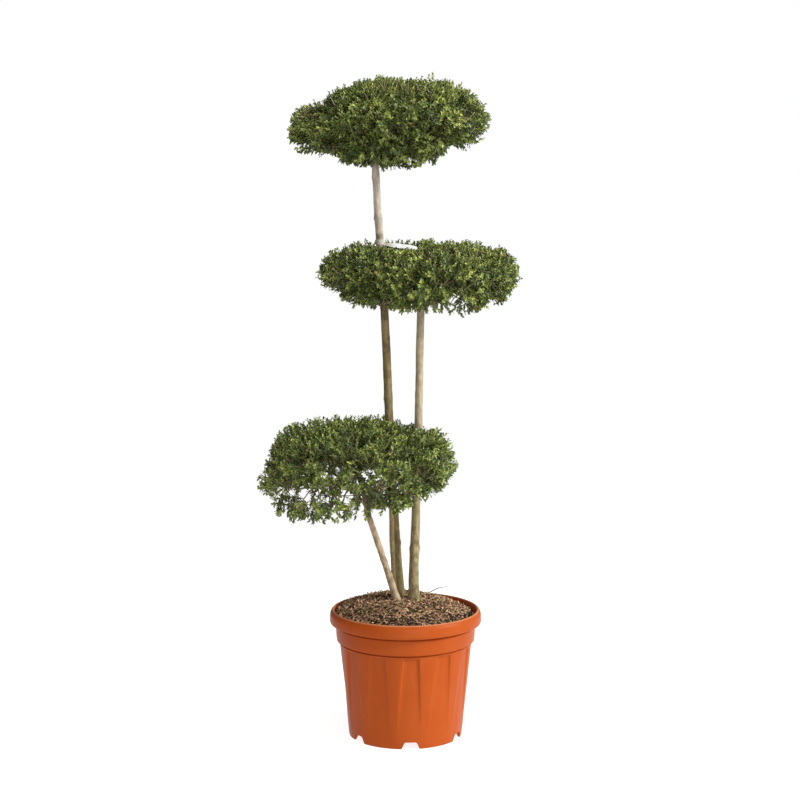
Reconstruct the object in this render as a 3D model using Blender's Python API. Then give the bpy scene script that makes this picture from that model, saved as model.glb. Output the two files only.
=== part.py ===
"""A privet clipped into three clouds on bare stems, growing in a fluted nursery pot.

Metres, +Z up. The origin is the centre of the pot's underside, and -Y is the front.
"""

import math
import random
from dataclasses import dataclass

import bmesh
import bpy
from mathutils import Vector

SEAT_GAP = 0.0003

# Pot: a 45 cm injection-moulded container with a rolled lip, a plain collar and twelve flutes.
POT_HEIGHT = 0.3805
LIP_RADIUS = 0.2252
LIP_FOOT = 0.335
LIP_WALL = 0.0150
COLLAR_RADIUS = 0.2072
COLLAR_FOOT = 0.281
BODY_FOOT_RADIUS = 0.1685
BODY_FLARE = 0.1
WALL = 0.0075
FLUTES = 12
FLUTE_TOP = 0.266
FLUTE_FOOT = 0.030
FLUTE_DEPTH = 0.0045
FLUTE_CENTRE = 5.0
FLUTE_HALF_TOP = 6.4
FLUTE_HALF_FOOT = 11.5
FLUTE_EDGE = 0.9
FLUTE_COLUMNS = 6
ISLAND_RADIUS = 0.100
BASE_RISE = 0.018
BASE_PLATE = 0.006
NOTCHES = 6
NOTCH_HEIGHT = 0.016
NOTCH_TOP_HALF = 0.023
NOTCH_FOOT_HALF = 0.0325

# Bark mulch, heaped to a small flat round the stems and a little higher at the back and left.
SOIL_FLAT = 0.405
SOIL_FLAT_RADIUS = 0.070
SOIL_FLAT_CENTRE = (0.0, 0.022)
SOIL_EDGE = 0.3715
SOIL_TILT = (-0.030, 0.050)
SOIL_LUMPS = 0.0022
SOIL_SWELL = 1.7
SOIL_SIDES = 36
SOIL_WALL_GAP = 0.0012

STEM_SIDES = 10
STEM_OVAL = 0.035
OVAL_MARGIN = 1.04
LIMB_CLEARANCE = 0.0015
CORE_SCALE = 0.87
CORE_SIDES = 22
TWIG_SIDES = 3
LEAF_THICKNESS = 0.0018


@dataclass(frozen=True)
class Stem:
    """A bare limb through a few guide points, with its radius at the foot, middle and tip."""

    name: str
    guides: tuple
    radii: tuple
    rings: int
    knots: tuple
    colour: tuple


@dataclass(frozen=True)
class Cloud:
    """A clipped mass: its widest level, how far it reaches each way and how full its faces are."""

    name: str
    centre: tuple
    reach: tuple
    rise: float
    drop: float
    crown: tuple
    belly: tuple
    slope: float
    lean: tuple
    foot: tuple
    foot_radius: float
    boughs: int
    targets: tuple
    leaf: float
    seed: int
    colour: tuple


LEANING_STEM = Stem(
    "stem_leaning",
    ((-0.0252, -0.005, 0.4053), (-0.0589, -0.012, 0.513), (-0.1003, -0.020, 0.639), (-0.1140, -0.022, 0.676)),
    (0.0125, 0.0094, 0.0086),
    11,
    ((0.45, 0.0010),),
    (0.50, 0.42, 0.30, 1.0),
)
SLENDER_STEM = Stem(
    "stem_slender",
    ((-0.0330, 0.022, 0.4053), (-0.0357, 0.023, 0.505), (-0.0401, 0.024, 0.581), (-0.0424, 0.022, 0.694)),
    (0.0082, 0.0072, 0.0066),
    9,
    ((0.62, 0.0007),),
    (0.44, 0.39, 0.25, 1.0),
)
MAIN_STEM = Stem(
    "stem_main",
    (
        (-0.0163, 0.050, 0.4053),
        (-0.0289, 0.048, 0.575),
        (-0.0440, 0.044, 0.830),
        (-0.0533, 0.040, 1.070),
        (-0.0623, 0.036, 1.260),
        (-0.0790, 0.030, 1.485),
        (-0.0850, 0.026, 1.576),
        (-0.0908, 0.020, 1.700),
    ),
    (0.0146, 0.0121, 0.0100),
    22,
    ((0.46, 0.0008), (0.865, 0.0010), (0.965, 0.0008)),
    (0.36, 0.31, 0.20, 1.0),
)
RIGHT_STEM = Stem(
    "stem_right",
    (
        (0.0276, 0.005, 0.4053),
        (0.0243, 0.008, 0.460),
        (0.0262, 0.010, 0.540),
        (0.0295, 0.014, 0.642),
        (0.0356, 0.022, 0.986),
        (0.0381, 0.028, 1.165),
        (0.0425, 0.030, 1.270),
    ),
    (0.0158, 0.0112, 0.0108),
    19,
    ((0.19, 0.0015), (0.60, 0.0007)),
    (0.52, 0.45, 0.31, 1.0),
)
STEMS = (LEANING_STEM, SLENDER_STEM, MAIN_STEM, RIGHT_STEM)

LOW_CLOUD = Cloud(
    "cloud_low",
    (-0.137, 0.0, 0.795),
    (0.290, 0.270),
    0.150,
    0.130,
    (4.5, 1.7),
    (3.6, 1.5),
    0.050,
    (-0.13, -0.20),
    (-0.1140, -0.022, 0.676),
    0.0086,
    8,
    (28, 21, 20),
    0.066,
    11,
    (0.075, 0.150, 0.035, 1.0),
)
MIDDLE_CLOUD = Cloud(
    "cloud_middle",
    (0.041, 0.020, 1.368),
    (0.297, 0.275),
    0.098,
    0.108,
    (6.5, 1.6),
    (5.0, 1.4),
    -0.012,
    (0.04, 0.08),
    (0.0425, 0.030, 1.270),
    0.0108,
    8,
    (28, 21, 20),
    0.064,
    24,
    (0.070, 0.145, 0.035, 1.0),
)
TOP_CLOUD = Cloud(
    "cloud_top",
    (-0.048, 0.010, 1.812),
    (0.295, 0.270),
    0.130,
    0.138,
    (3.2, 1.35),
    (2.3, 1.45),
    0.068,
    (0.02, 0.08),
    (-0.0908, 0.020, 1.700),
    0.0100,
    8,
    (28, 21, 20),
    0.064,
    37,
    (0.070, 0.140, 0.035, 1.0),
)
CLOUDS = (LOW_CLOUD, MIDDLE_CLOUD, TOP_CLOUD)

# Blank plant label: a strap looped round the main stem and a tail laid on the middle cloud.
LABEL_HEIGHT = 1.484
LABEL_BAND = 0.016
LABEL_WIDTH = 0.022
LABEL_LENGTH = 0.100
LABEL_THICKNESS = 0.0014
LABEL_TURN = -17.0
LABEL_DROP = 9.0
LABEL_SIDES = 20
LABEL_ROOM = ((-0.100, -0.045, 1.444), (0.040, 0.062, 1.520))


def clear_scene():
    """Removes everything from the scene."""
    for old in list(bpy.data.objects):
        bpy.data.objects.remove(old, do_unlink=True)


def finish(name, colour, roughness, metallic=0.0):
    """Returns a new Principled material."""
    material = bpy.data.materials.new(name)
    material.use_nodes = True
    shader = material.node_tree.nodes["Principled BSDF"]
    shader.inputs["Base Color"].default_value = colour
    shader.inputs["Roughness"].default_value = roughness
    shader.inputs["Metallic"].default_value = metallic
    return material


def add_object(name, points, faces, material, sharp=math.radians(35)):
    """Makes a mesh object of points and faces, its faces pointing out and its round sides smooth."""
    mesh = bpy.data.meshes.new(name)
    mesh.from_pydata([tuple(point) for point in points], [], faces)
    shape = bmesh.new()
    shape.from_mesh(mesh)
    bmesh.ops.recalc_face_normals(shape, faces=shape.faces)
    shape.to_mesh(mesh)
    shape.free()
    if material:
        mesh.materials.append(material)
    mesh.shade_smooth()
    mesh.set_sharp_from_angle(angle=sharp)
    made = bpy.data.objects.new(name, mesh)
    bpy.context.scene.collection.objects.link(made)
    return made


def hide_cutter(cutter):
    """Leaves a Boolean's helper out of the model."""
    cutter.hide_render = True
    cutter.display_type = "WIRE"


def stack_rings(rings):
    """Returns the points and faces of a closed skin over equal rings, with a flat cap at each end."""
    sides = len(rings[0])
    points = [point for ring in rings for point in ring]
    faces = [tuple(range(sides))[::-1]]
    for level in range(len(rings) - 1):
        for side in range(sides):
            a, b = level * sides + side, level * sides + (side + 1) % sides
            faces.append((a, b, b + sides, a + sides))
    last = (len(rings) - 1) * sides
    faces.append(tuple(range(last, last + sides)))
    return points, faces


def body_radius(height):
    """The outer radius of the pot's tapered body."""
    return BODY_FOOT_RADIUS + BODY_FLARE * height


def flute_angles(half):
    """The angles of the pot's columns, in degrees from the front, for flutes of this half width."""
    land = 360 / FLUTES - 2 * half
    steps = (
        -half - FLUTE_EDGE,
        -half + FLUTE_EDGE,
        half - FLUTE_EDGE,
        half + FLUTE_EDGE,
        half + FLUTE_EDGE + (land - 2 * FLUTE_EDGE) / 3,
        half + FLUTE_EDGE + (land - 2 * FLUTE_EDGE) * 2 / 3,
    )
    pitch = 360 / FLUTES
    return [FLUTE_CENTRE + pitch * flute + step for flute in range(FLUTES) for step in steps]


def pot_ring(radius, height, half=FLUTE_HALF_TOP, depth=0.0):
    """One ring of the pot, pressed in by depth between the edges of each flute."""
    ring = []
    for index, angle in enumerate(flute_angles(half)):
        pressed = radius - depth * (index % FLUTE_COLUMNS in (1, 2))
        turn = math.radians(angle)
        ring.append(Vector((pressed * math.sin(turn), -pressed * math.cos(turn), height)))
    return ring


def build_pot():
    """The pot: a turned and fluted wall, a raised base round a flat island, and six notches."""
    inner = body_radius(COLLAR_FOOT) - WALL
    rings = [
        pot_ring(ISLAND_RADIUS, 0.0),
        pot_ring(ISLAND_RADIUS + 0.005, BASE_RISE),
        pot_ring(body_radius(0) - 0.0125, BASE_RISE),
        pot_ring(body_radius(0) - 0.0065, 0.0),
        pot_ring(body_radius(0) - 0.0010, 0.0, FLUTE_HALF_FOOT),
        pot_ring(body_radius(FLUTE_FOOT), FLUTE_FOOT, FLUTE_HALF_FOOT),
        pot_ring(body_radius(FLUTE_TOP), FLUTE_TOP, FLUTE_HALF_TOP, FLUTE_DEPTH),
        pot_ring(body_radius(FLUTE_TOP), FLUTE_TOP + 0.003),
        pot_ring(body_radius(COLLAR_FOOT), COLLAR_FOOT - 0.002),
        pot_ring(COLLAR_RADIUS - 0.0020, COLLAR_FOOT + 0.006),
        pot_ring(COLLAR_RADIUS, LIP_FOOT - 0.002),
        pot_ring(LIP_RADIUS - 0.0025, LIP_FOOT),
        pot_ring(LIP_RADIUS, LIP_FOOT + 0.007),
        pot_ring(LIP_RADIUS - 0.0004, POT_HEIGHT - 0.013),
        pot_ring(LIP_RADIUS - 0.0040, POT_HEIGHT - 0.004),
        pot_ring(LIP_RADIUS - 0.0095, POT_HEIGHT),
        pot_ring(LIP_RADIUS - LIP_WALL, POT_HEIGHT - 0.008),
        pot_ring(COLLAR_RADIUS - WALL, LIP_FOOT - 0.010),
        pot_ring(COLLAR_RADIUS - WALL - 0.0010, COLLAR_FOOT + 0.012),
        pot_ring(inner, COLLAR_FOOT - 0.004),
        pot_ring(body_radius(BASE_RISE) - WALL, BASE_RISE + BASE_PLATE),
        pot_ring(ISLAND_RADIUS - 0.001, BASE_RISE + BASE_PLATE),
        pot_ring(ISLAND_RADIUS - 0.006, BASE_PLATE),
    ]
    points, faces = stack_rings(rings)
    pot = add_object("pot", points, faces, finish("terracotta_plastic", (0.62, 0.17, 0.045, 1.0), 0.42))
    notches = bpy.data.collections.new("pot_notches")
    bpy.context.scene.collection.children.link(notches)
    notches.hide_render = True
    for index in range(NOTCHES):
        cutter = notch_cutter(index)
        bpy.context.scene.collection.objects.unlink(cutter)
        notches.objects.link(cutter)
    cut = pot.modifiers.new("notches", "BOOLEAN")
    cut.operation = "DIFFERENCE"
    cut.operand_type = "COLLECTION"
    cut.collection = notches
    return pot


def notch_cutter(index):
    """A cutter through the foot of the pot's wall: wide below, narrow above, under every second flute."""
    turn = math.radians(FLUTE_CENTRE + index * 360 / NOTCHES)
    out = Vector((math.sin(turn), -math.cos(turn), 0.0))
    side = Vector((math.cos(turn), math.sin(turn), 0.0))
    outline = (
        (-NOTCH_FOOT_HALF - 0.004, -0.006),
        (NOTCH_FOOT_HALF + 0.004, -0.006),
        (NOTCH_FOOT_HALF, 0.0),
        (NOTCH_TOP_HALF + 0.003, NOTCH_HEIGHT - 0.003),
        (NOTCH_TOP_HALF - 0.002, NOTCH_HEIGHT),
        (-NOTCH_TOP_HALF + 0.002, NOTCH_HEIGHT),
        (-NOTCH_TOP_HALF - 0.003, NOTCH_HEIGHT - 0.003),
        (-NOTCH_FOOT_HALF, 0.0),
    )
    rings = [
        [out * reach + side * across + Vector((0, 0, up)) for across, up in outline]
        for reach in (BODY_FOOT_RADIUS - 0.028, BODY_FOOT_RADIUS + 0.020)
    ]
    cutter = add_object(f"notch_cutter_{index + 1}", *stack_rings(rings), None)
    hide_cutter(cutter)
    return cutter


def inner_lip_radius(height):
    """The radius of the pot's inner wall at the level of its lip."""
    low, high = LIP_FOOT - 0.010, POT_HEIGHT - 0.008
    slant = (LIP_RADIUS - LIP_WALL - COLLAR_RADIUS + WALL) / (high - low)
    return COLLAR_RADIUS - WALL + slant * (height - low)


def soil_ring(share, lumps):
    """One ring of the mulch's surface, on its way from the pot's wall to the flat round the stems."""
    ring = []
    for side in range(SOIL_SIDES):
        wall = around((0.0, 0.0), 1.0, side, SOIL_SIDES, 0.0)
        edge = SOIL_EDGE + (SOIL_TILT[0] * wall.x + SOIL_TILT[1] * wall.y) * COLLAR_RADIUS
        wall *= inner_lip_radius(edge) - SOIL_WALL_GAP
        spot = wall.lerp(around(SOIL_FLAT_CENTRE, SOIL_FLAT_RADIUS, side, SOIL_SIDES, 0.0), share)
        spot.z = edge + (SOIL_FLAT - edge) * (1 - (1 - share) ** SOIL_SWELL)
        if 0 < share < 1:
            spot.z += lumps.uniform(-SOIL_LUMPS, SOIL_LUMPS)
        ring.append(spot)
    return ring


def build_soil():
    """The root ball and mulch: a plug that fills the pot, 0.3 mm clear of its wall and base."""
    lumps = random.Random(5)
    levels = [
        (ISLAND_RADIUS - 0.0066, BASE_PLATE + SEAT_GAP),
        (ISLAND_RADIUS - 0.0017, BASE_RISE + BASE_PLATE + SEAT_GAP),
        (body_radius(BASE_RISE) - WALL - SOIL_WALL_GAP, BASE_RISE + BASE_PLATE + SEAT_GAP),
        (body_radius(COLLAR_FOOT) - WALL - SOIL_WALL_GAP, COLLAR_FOOT - 0.004 + SEAT_GAP),
        (COLLAR_RADIUS - WALL - 0.0010 - SOIL_WALL_GAP, COLLAR_FOOT + 0.012 + SEAT_GAP),
        (COLLAR_RADIUS - WALL - SOIL_WALL_GAP, LIP_FOOT - 0.010 + SEAT_GAP),
    ]
    rings = []
    for radius, height in levels:
        rings.append([around((0.0, 0.0), radius, side, SOIL_SIDES, height) for side in range(SOIL_SIDES)])
    rings += [soil_ring(share, lumps) for share in (0.0, 0.10, 0.28, 0.50, 0.75, 1.0)]
    return add_object("soil", *stack_rings(rings), finish("bark_mulch", (0.16, 0.10, 0.065, 1.0), 0.95))


def around(centre, radius, side, sides, height):
    """The point of a level ring."""
    turn = math.tau * side / sides
    return Vector((centre[0] + radius * math.sin(turn), centre[1] - radius * math.cos(turn), height))


def spline(guides, share):
    """The point at this share of a smooth curve through the guide points (Catmull-Rom)."""
    guides = [Vector(guide) for guide in guides]
    spans = [(b - a).length for a, b in zip(guides, guides[1:])]
    walk = share * sum(spans)
    index = 0
    while index < len(spans) - 1 and walk > spans[index]:
        walk -= spans[index]
        index += 1
    t = min(1.0, walk / spans[index])
    p1, p2 = guides[index], guides[index + 1]
    p0 = guides[index - 1] if index else p1 * 2 - p2
    p3 = guides[index + 2] if index + 2 < len(guides) else p2 * 2 - p1
    bend = (p2 - p0) * t + (p0 * 2 - p1 * 5 + p2 * 4 - p3) * t**2 + (p1 * 3 - p0 - p2 * 3 + p3) * t**3
    return p1 + bend * 0.5


def stem_radius(stem, share):
    """A stem's radius at this share of its length: a short root flare, then an even taper."""
    foot, middle, tip = stem.radii
    if share < 0.5:
        radius = foot + (middle - foot) * (1 - (1 - share * 2) ** 1.6)
    else:
        radius = middle + (tip - middle) * (share * 2 - 1)
    radius += foot * 0.16 * math.exp(-share * 38)
    for place, height in stem.knots:
        radius += height * math.exp(-(((share - place) / 0.012) ** 2))
    return radius


def build_stem(stem):
    """A stem from its flat foot on the mulch to its flat tip: level rings along its curve."""
    rings = []
    shares = [index / (stem.rings - 1) for index in range(stem.rings)]
    shares = sorted(set(shares) | {place for place, _ in stem.knots} | {0.03})
    for share in shares:
        middle = spline(stem.guides, share)
        radius = stem_radius(stem, share)
        rings.append(
            [around(middle, radius * oval(stem, side), side, STEM_SIDES, middle.z) for side in range(STEM_SIDES)]
        )
    return add_object(stem.name, *stack_rings(rings), finish(f"bark_{stem.name}", stem.colour, 0.8))


def oval(stem, side):
    """A stem is a little out of round, each in its own way."""
    return 1 + STEM_OVAL * math.cos(2 * math.tau * side / STEM_SIDES + len(stem.name))


def depth_share(cloud, x, y):
    """How far out from the middle of a cloud this place is, 1 at its widest outline."""
    return math.hypot((x - cloud.centre[0]) / cloud.reach[0], (y - cloud.centre[1]) / cloud.reach[1])


def faces_of(cloud, x, y, scale=1.0):
    """The heights of a cloud's lower and upper clipped faces over this place, or None outside it."""
    share = depth_share(cloud, x, y) / scale
    if share >= 1:
        return None
    along = x - cloud.centre[0]
    middle = cloud.centre[2] + cloud.slope * along
    rise = scale * cloud.rise * (1 + cloud.lean[0] * along / cloud.reach[0])
    drop = scale * cloud.drop * (1 + cloud.lean[1] * along / cloud.reach[0])
    top = middle + rise * (1 - share ** cloud.crown[0]) ** (1 / cloud.crown[1])
    bottom = middle - drop * (1 - share ** cloud.belly[0]) ** (1 / cloud.belly[1])
    return bottom, top


def in_space(cloud, point, spare=0.0):
    """Says whether a point lies within the space that its cloud keeps to."""
    faces = faces_of(cloud, point.x, point.y)
    if faces is None or not faces[0] + spare < point.z < faces[1] - spare:
        return False
    low, high = LABEL_ROOM
    return cloud.name != MIDDLE_CLOUD.name or not all(low[i] < point[i] < high[i] for i in range(3))


def face_point(cloud, turn, share, upward):
    """A point of a cloud's upper or lower face."""
    x = cloud.centre[0] + cloud.reach[0] * share * math.sin(turn)
    y = cloud.centre[1] - cloud.reach[1] * share * math.cos(turn)
    return Vector((x, y, faces_of(cloud, x, y)[1 if upward else 0]))


def stem_at(stem, height):
    """The middle and radius of a stem at this height, or at its nearest end."""
    low, high = 0.0, 1.0
    for _ in range(14):
        share = (low + high) / 2
        if spline(stem.guides, share).z < height:
            low = share
        else:
            high = share
    return spline(stem.guides, share), stem_radius(stem, share) * OVAL_MARGIN


def limb_distance(point, stem):
    """How far a point is from a stem's bark, beyond its foot and tip included."""
    middle, radius = stem_at(stem, point.z)
    beside = math.hypot(point.x - middle.x, point.y - middle.y) - radius
    return max(beside, point.z - stem.guides[-1][2], stem.guides[0][2] - point.z)


def clear_of_limbs(cloud, start, end, radius):
    """Says whether a straight run keeps clear of every stem that could reach its cloud."""
    steps = max(2, int((end - start).length / 0.006))
    for index in range(steps + 1):
        point = start.lerp(end, index / steps)
        if any(limb_distance(point, stem) < radius + LIMB_CLEARANCE for stem in STEMS):
            return False
    return True


def tube(points, radii, sides=TWIG_SIDES):
    """The points and faces of a closed tube of few sides along a bent run."""
    rings = []
    for index, (point, radius) in enumerate(zip(points, radii)):
        before, after = points[max(0, index - 1)], points[min(len(points) - 1, index + 1)]
        along = (after - before).normalized()
        across = along.cross(Vector((0.31, 0.17, 0.93))).normalized()
        over = along.cross(across)
        turns = [math.tau * side / sides for side in range(sides)]
        rings.append([point + (across * math.cos(a) + over * math.sin(a)) * radius for a in turns])
    return stack_rings(rings)


def leaf_points(root, along, flat, length):
    """A privet leaf as six points: root, tip, two sides, and its crease above and below."""
    across = along.cross(flat).normalized()
    middle = root + along * length * 0.52
    half = length * 0.27
    return [
        root,
        root + along * length - flat * length * 0.05,
        middle + across * half,
        middle - across * half,
        middle + flat * LEAF_THICKNESS * 0.5 - flat * length * 0.03,
        middle - flat * LEAF_THICKNESS * 0.9 - flat * length * 0.03,
    ]


LEAF_FACES = ((0, 2, 4), (4, 2, 1), (0, 4, 3), (3, 4, 1), (0, 5, 2), (2, 5, 1), (0, 3, 5), (5, 3, 1))


def unit(rng):
    """A random direction."""
    height = rng.uniform(-1, 1)
    turn = rng.uniform(0, math.tau)
    flat = math.sqrt(1 - height * height)
    return Vector((flat * math.cos(turn), flat * math.sin(turn), height))


def build_core(cloud):
    """The dense middle of a cloud, cut clear of the stems that run through it."""
    rng = random.Random(cloud.seed)
    middle = Vector(cloud.centre)
    shares = (0.30, 0.58, 0.80, 0.93, 0.995)
    levels = [(share, False) for share in shares] + [(share, True) for share in reversed(shares)]
    rings = []
    for share, upward in levels:
        ring = []
        for side in range(CORE_SIDES):
            turn = math.tau * (side + 0.5 * (len(rings) % 2)) / CORE_SIDES
            spot = face_point(cloud, turn, share, upward)
            ring.append(middle + (spot - middle) * CORE_SCALE * rng.uniform(0.94, 1.03))
        rings.append(ring)
    core = add_object(f"{cloud.name}_core", *stack_rings(rings), None)
    for stem in STEMS:
        tunnel_stem(core, cloud, stem)
    return core


def tunnel_stem(core, cloud, stem):
    """Cuts a clear tunnel for a stem that passes through a core or ends inside it."""
    foot, tip = stem.guides[0][2], stem.guides[-1][2]
    bottom, top = cloud.centre[2] - cloud.drop - 0.03, cloud.centre[2] + cloud.rise + 0.03
    if tip < bottom or foot > top:
        return
    ends_here = tip < top
    heights = [bottom + (min(top, tip) - bottom) * index / 5 for index in range(6)]
    rings = []
    for height in heights:
        middle, radius = stem_at(stem, height)
        radius += LIMB_CLEARANCE
        rings.append([around(middle, radius, side, STEM_SIDES, height) for side in range(STEM_SIDES)])
    if ends_here:
        rings.append([point + Vector((0, 0, SEAT_GAP)) for point in rings[-1]])
    cutter = add_object(f"{cloud.name}_{stem.name}_tunnel", *stack_rings(rings), None)
    cut = core.modifiers.new(stem.name, "BOOLEAN")
    cut.operation = "DIFFERENCE"
    cut.object = cutter
    apply_modifiers(core)
    bpy.data.objects.remove(cutter, do_unlink=True)


def apply_modifiers(made):
    """Turns an object's modified shape into its own mesh."""
    bpy.context.view_layer.update()
    graph = bpy.context.evaluated_depsgraph_get()
    mesh = bpy.data.meshes.new_from_object(made.evaluated_get(graph), depsgraph=graph)
    made.modifiers.clear()
    made.data = mesh


def grow_boughs(cloud, rng):
    """The mass's own stem and boughs, as runs of (points, radii), and the places twigs start from."""
    foot = Vector(cloud.foot) + Vector((0, 0, SEAT_GAP))
    hub = foot.lerp(Vector(cloud.centre), 0.55)
    radius = cloud.foot_radius
    runs = [([foot, foot + Vector((0, 0, 0.012)), hub], [radius * 0.9, radius * 0.9, radius * 0.7], STEM_SIDES - 4)]
    starts = [hub]
    for index in range(cloud.boughs):
        turn = math.tau * (index + rng.uniform(-0.2, 0.2)) / cloud.boughs
        end = face_point(cloud, turn, 0.70, True)
        end = hub.lerp(end, 0.86)
        end.z = cloud.centre[2] + cloud.slope * (end.x - cloud.centre[0]) + rng.uniform(-0.15, 0.2) * cloud.rise
        bend = hub.lerp(end, 0.5) + Vector((0, 0, 0.014)) + unit(rng) * 0.008
        points = [hub - (end - hub) * 0.02, bend, end]
        if all(clear_of_limbs(cloud, a, b, radius * 0.5) for a, b in zip(points, points[1:])):
            runs.append((points, [radius * 0.55, radius * 0.42, radius * 0.28], TWIG_SIDES))
            starts += [hub.lerp(bend, 0.5), bend, bend.lerp(end, 0.5), end]
    return runs, starts


def spread_targets(cloud, rng):
    """Places on a cloud's clipped faces, spread evenly by the golden angle: crown, belly and side."""
    crown, belly, side = cloud.targets
    golden = math.pi * (3 - math.sqrt(5))
    found = []
    for count, upward in ((crown, True), (belly, False)):
        for index in range(count):
            share = 0.88 * math.sqrt((index + 0.5) / count)
            found.append(face_point(cloud, index * golden + rng.uniform(-0.15, 0.15), share, upward))
    for index in range(side):
        turn = math.tau * (index + rng.uniform(-0.2, 0.2)) / side
        found.append(face_point(cloud, turn, 0.985, index % 2 == 0))
    return found


def grow_cloud(cloud):
    """Grows the twigs and leaves of a cloud, as (points, faces) solids that sink into each other."""
    rng = random.Random(cloud.seed + 1)
    runs, starts = grow_boughs(cloud, rng)
    solids = [tube(points, radii, sides) for points, radii, sides in runs]
    middle = Vector(cloud.centre)
    for target in spread_targets(cloud, rng):
        start = min(starts, key=lambda spot: (spot - target).length)
        outward = (target - start).normalized()
        tip = target - outward * cloud.leaf * rng.uniform(0.50, 0.66)
        bend = start.lerp(tip, 0.55) + unit(rng) * 0.008
        twig = [start, bend, tip]
        if not all(clear_of_limbs(cloud, a, b, 0.003) for a, b in zip(twig, twig[1:])):
            continue
        leaves = grow_leaves(cloud, twig, outward, middle, rng)
        if leaves:
            solids.append(tube(twig, [0.0034, 0.0030, 0.0024]))
            solids += leaves
    return solids


def grow_leaves(cloud, twig, outward, middle, rng):
    """A leaf on a twig's tip and one below it, left out where they would leave the space or meet a limb."""
    leaves = []
    bend, tip = twig[1], twig[2]
    for root, spread, size in ((tip - outward * 0.008, 0.8, 1.0), (bend.lerp(tip, 0.70), 1.3, 0.95)):
        for attempt in range(14):
            along = (outward + unit(rng) * spread).normalized()
            length = cloud.leaf * size * rng.uniform(0.85, 1.1) * (1 - 0.04 * attempt)
            rough = unit(rng) + (root - middle).normalized() * 1.4
            flat = (rough - along * rough.dot(along)).normalized()
            points = leaf_points(root, along, flat, length)
            inside = all(in_space(cloud, point) for point in points[1:])
            if inside and all(clear_of_limbs(cloud, root, point, 0.001) for point in points[1:4]):
                leaves.append((points, LEAF_FACES))
                break
    return leaves


def fuse(cloud, core, solids, material):
    """Joins a cloud's core, twigs and leaves into one closed body."""
    loose = bpy.data.collections.new(f"{cloud.name}_growth")
    bpy.context.scene.collection.children.link(loose)
    for index, (points, faces) in enumerate(solids):
        piece = add_object(f"{cloud.name}_piece_{index}", points, faces, None)
        bpy.context.scene.collection.objects.unlink(piece)
        loose.objects.link(piece)
    core.name = cloud.name
    join = core.modifiers.new("growth", "BOOLEAN")
    join.operation = "UNION"
    join.solver = "MANIFOLD"
    join.operand_type = "COLLECTION"
    join.collection = loose
    apply_modifiers(core)
    for piece in list(loose.objects):
        bpy.data.objects.remove(piece, do_unlink=True)
    bpy.data.collections.remove(loose)
    keep_largest(core.data)
    core.data.materials.clear()
    core.data.materials.append(material)
    core.data.shade_flat()


def keep_largest(mesh):
    """Drops loose scraps and fills sealed hollows: only the largest closed skin stays."""
    shape = bmesh.new()
    shape.from_mesh(mesh)
    left = set(shape.faces)
    skins = []
    while left:
        skin = [left.pop()]
        for face in skin:
            for edge in face.edges:
                if len(edge.link_faces) == 2:
                    beyond = [other for other in edge.link_faces if other in left]
                    left.difference_update(beyond)
                    skin += beyond
        skins.append(skin)
    largest = max(skins, key=len)
    drop = [face for skin in skins if skin is not largest for face in skin]
    bmesh.ops.delete(shape, geom=drop, context="FACES")
    shape.to_mesh(mesh)
    shape.free()


def build_cloud(cloud):
    """One clipped mass: its core, with the twigs and leaves that stand out of it."""
    fuse(cloud, build_core(cloud), grow_cloud(cloud), finish(f"leaf_{cloud.name}", cloud.colour, 0.55))


def build_label():
    """The blank label: a band round the main stem, 0.4 mm clear, with a flat tail to its right."""
    middle, bark = stem_at(MAIN_STEM, LABEL_HEIGHT)
    inner = bark + 2 * SEAT_GAP
    material = finish("label_card", (0.85, 0.82, 0.80, 1.0), 0.5)
    rings = []
    for radius, up in ((inner + LABEL_THICKNESS, 0.0), (inner + LABEL_THICKNESS, 1.0), (inner, 1.0), (inner, 0.0)):
        height = LABEL_HEIGHT + (up - 0.5) * LABEL_BAND
        centre = stem_at(MAIN_STEM, height)[0]
        rings.append([around(centre, radius, side, LABEL_SIDES, height) for side in range(LABEL_SIDES)])
    points, faces = stack_rings(rings)
    last = 3 * LABEL_SIDES
    faces = faces[1:-1] + [
        (last + side, last + (side + 1) % LABEL_SIDES, (side + 1) % LABEL_SIDES, side) for side in range(LABEL_SIDES)
    ]
    label = add_object("plant_label", points, faces, material)
    turn, drop = math.radians(LABEL_TURN), math.radians(LABEL_DROP)
    along = Vector((math.cos(turn) * math.cos(drop), math.sin(turn) * math.cos(drop), -math.sin(drop)))
    side = Vector((-math.sin(turn), math.cos(turn), 0.0))
    over = along.cross(side) * LABEL_THICKNESS * 0.5
    root = middle + along * (inner + LABEL_THICKNESS * 0.4) - Vector((0, 0, LABEL_BAND * 0.5 - 0.002))
    outline = []
    for reach, half in ((0.0, 0.28), (0.016, 0.36), (0.030, 1.0), (0.97, 1.0), (1.0, 0.75)):
        distance = reach * LABEL_LENGTH if reach > 0.1 else reach
        outline.append((distance, half * LABEL_WIDTH / 2))
    edge = [root + along * a + side * b for a, b in outline]
    edge += [root + along * a - side * b for a, b in reversed(outline)]
    rings = [[point + over for point in edge], [point - over for point in edge]]
    tail = add_object("label_tail", *stack_rings(rings), None)
    join = label.modifiers.new("tail", "BOOLEAN")
    join.operation = "UNION"
    join.object = tail
    apply_modifiers(label)
    bpy.data.objects.remove(tail, do_unlink=True)


def main():
    """Builds the potted plant."""
    clear_scene()
    build_pot()
    build_soil()
    for stem in STEMS:
        build_stem(stem)
    for cloud in CLOUDS:
        build_cloud(cloud)
    build_label()


main()
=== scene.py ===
"""Looks of a privet clipped into three clouds on bare stems, growing in a fluted nursery pot.

Metres, +Z up. The origin is the centre of the pot's underside, and -Y is the front.
"""

import logging
import math
from dataclasses import dataclass
from enum import Enum
from itertools import product
from typing import Any, Callable, Iterable, Optional, Sequence, Union

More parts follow.
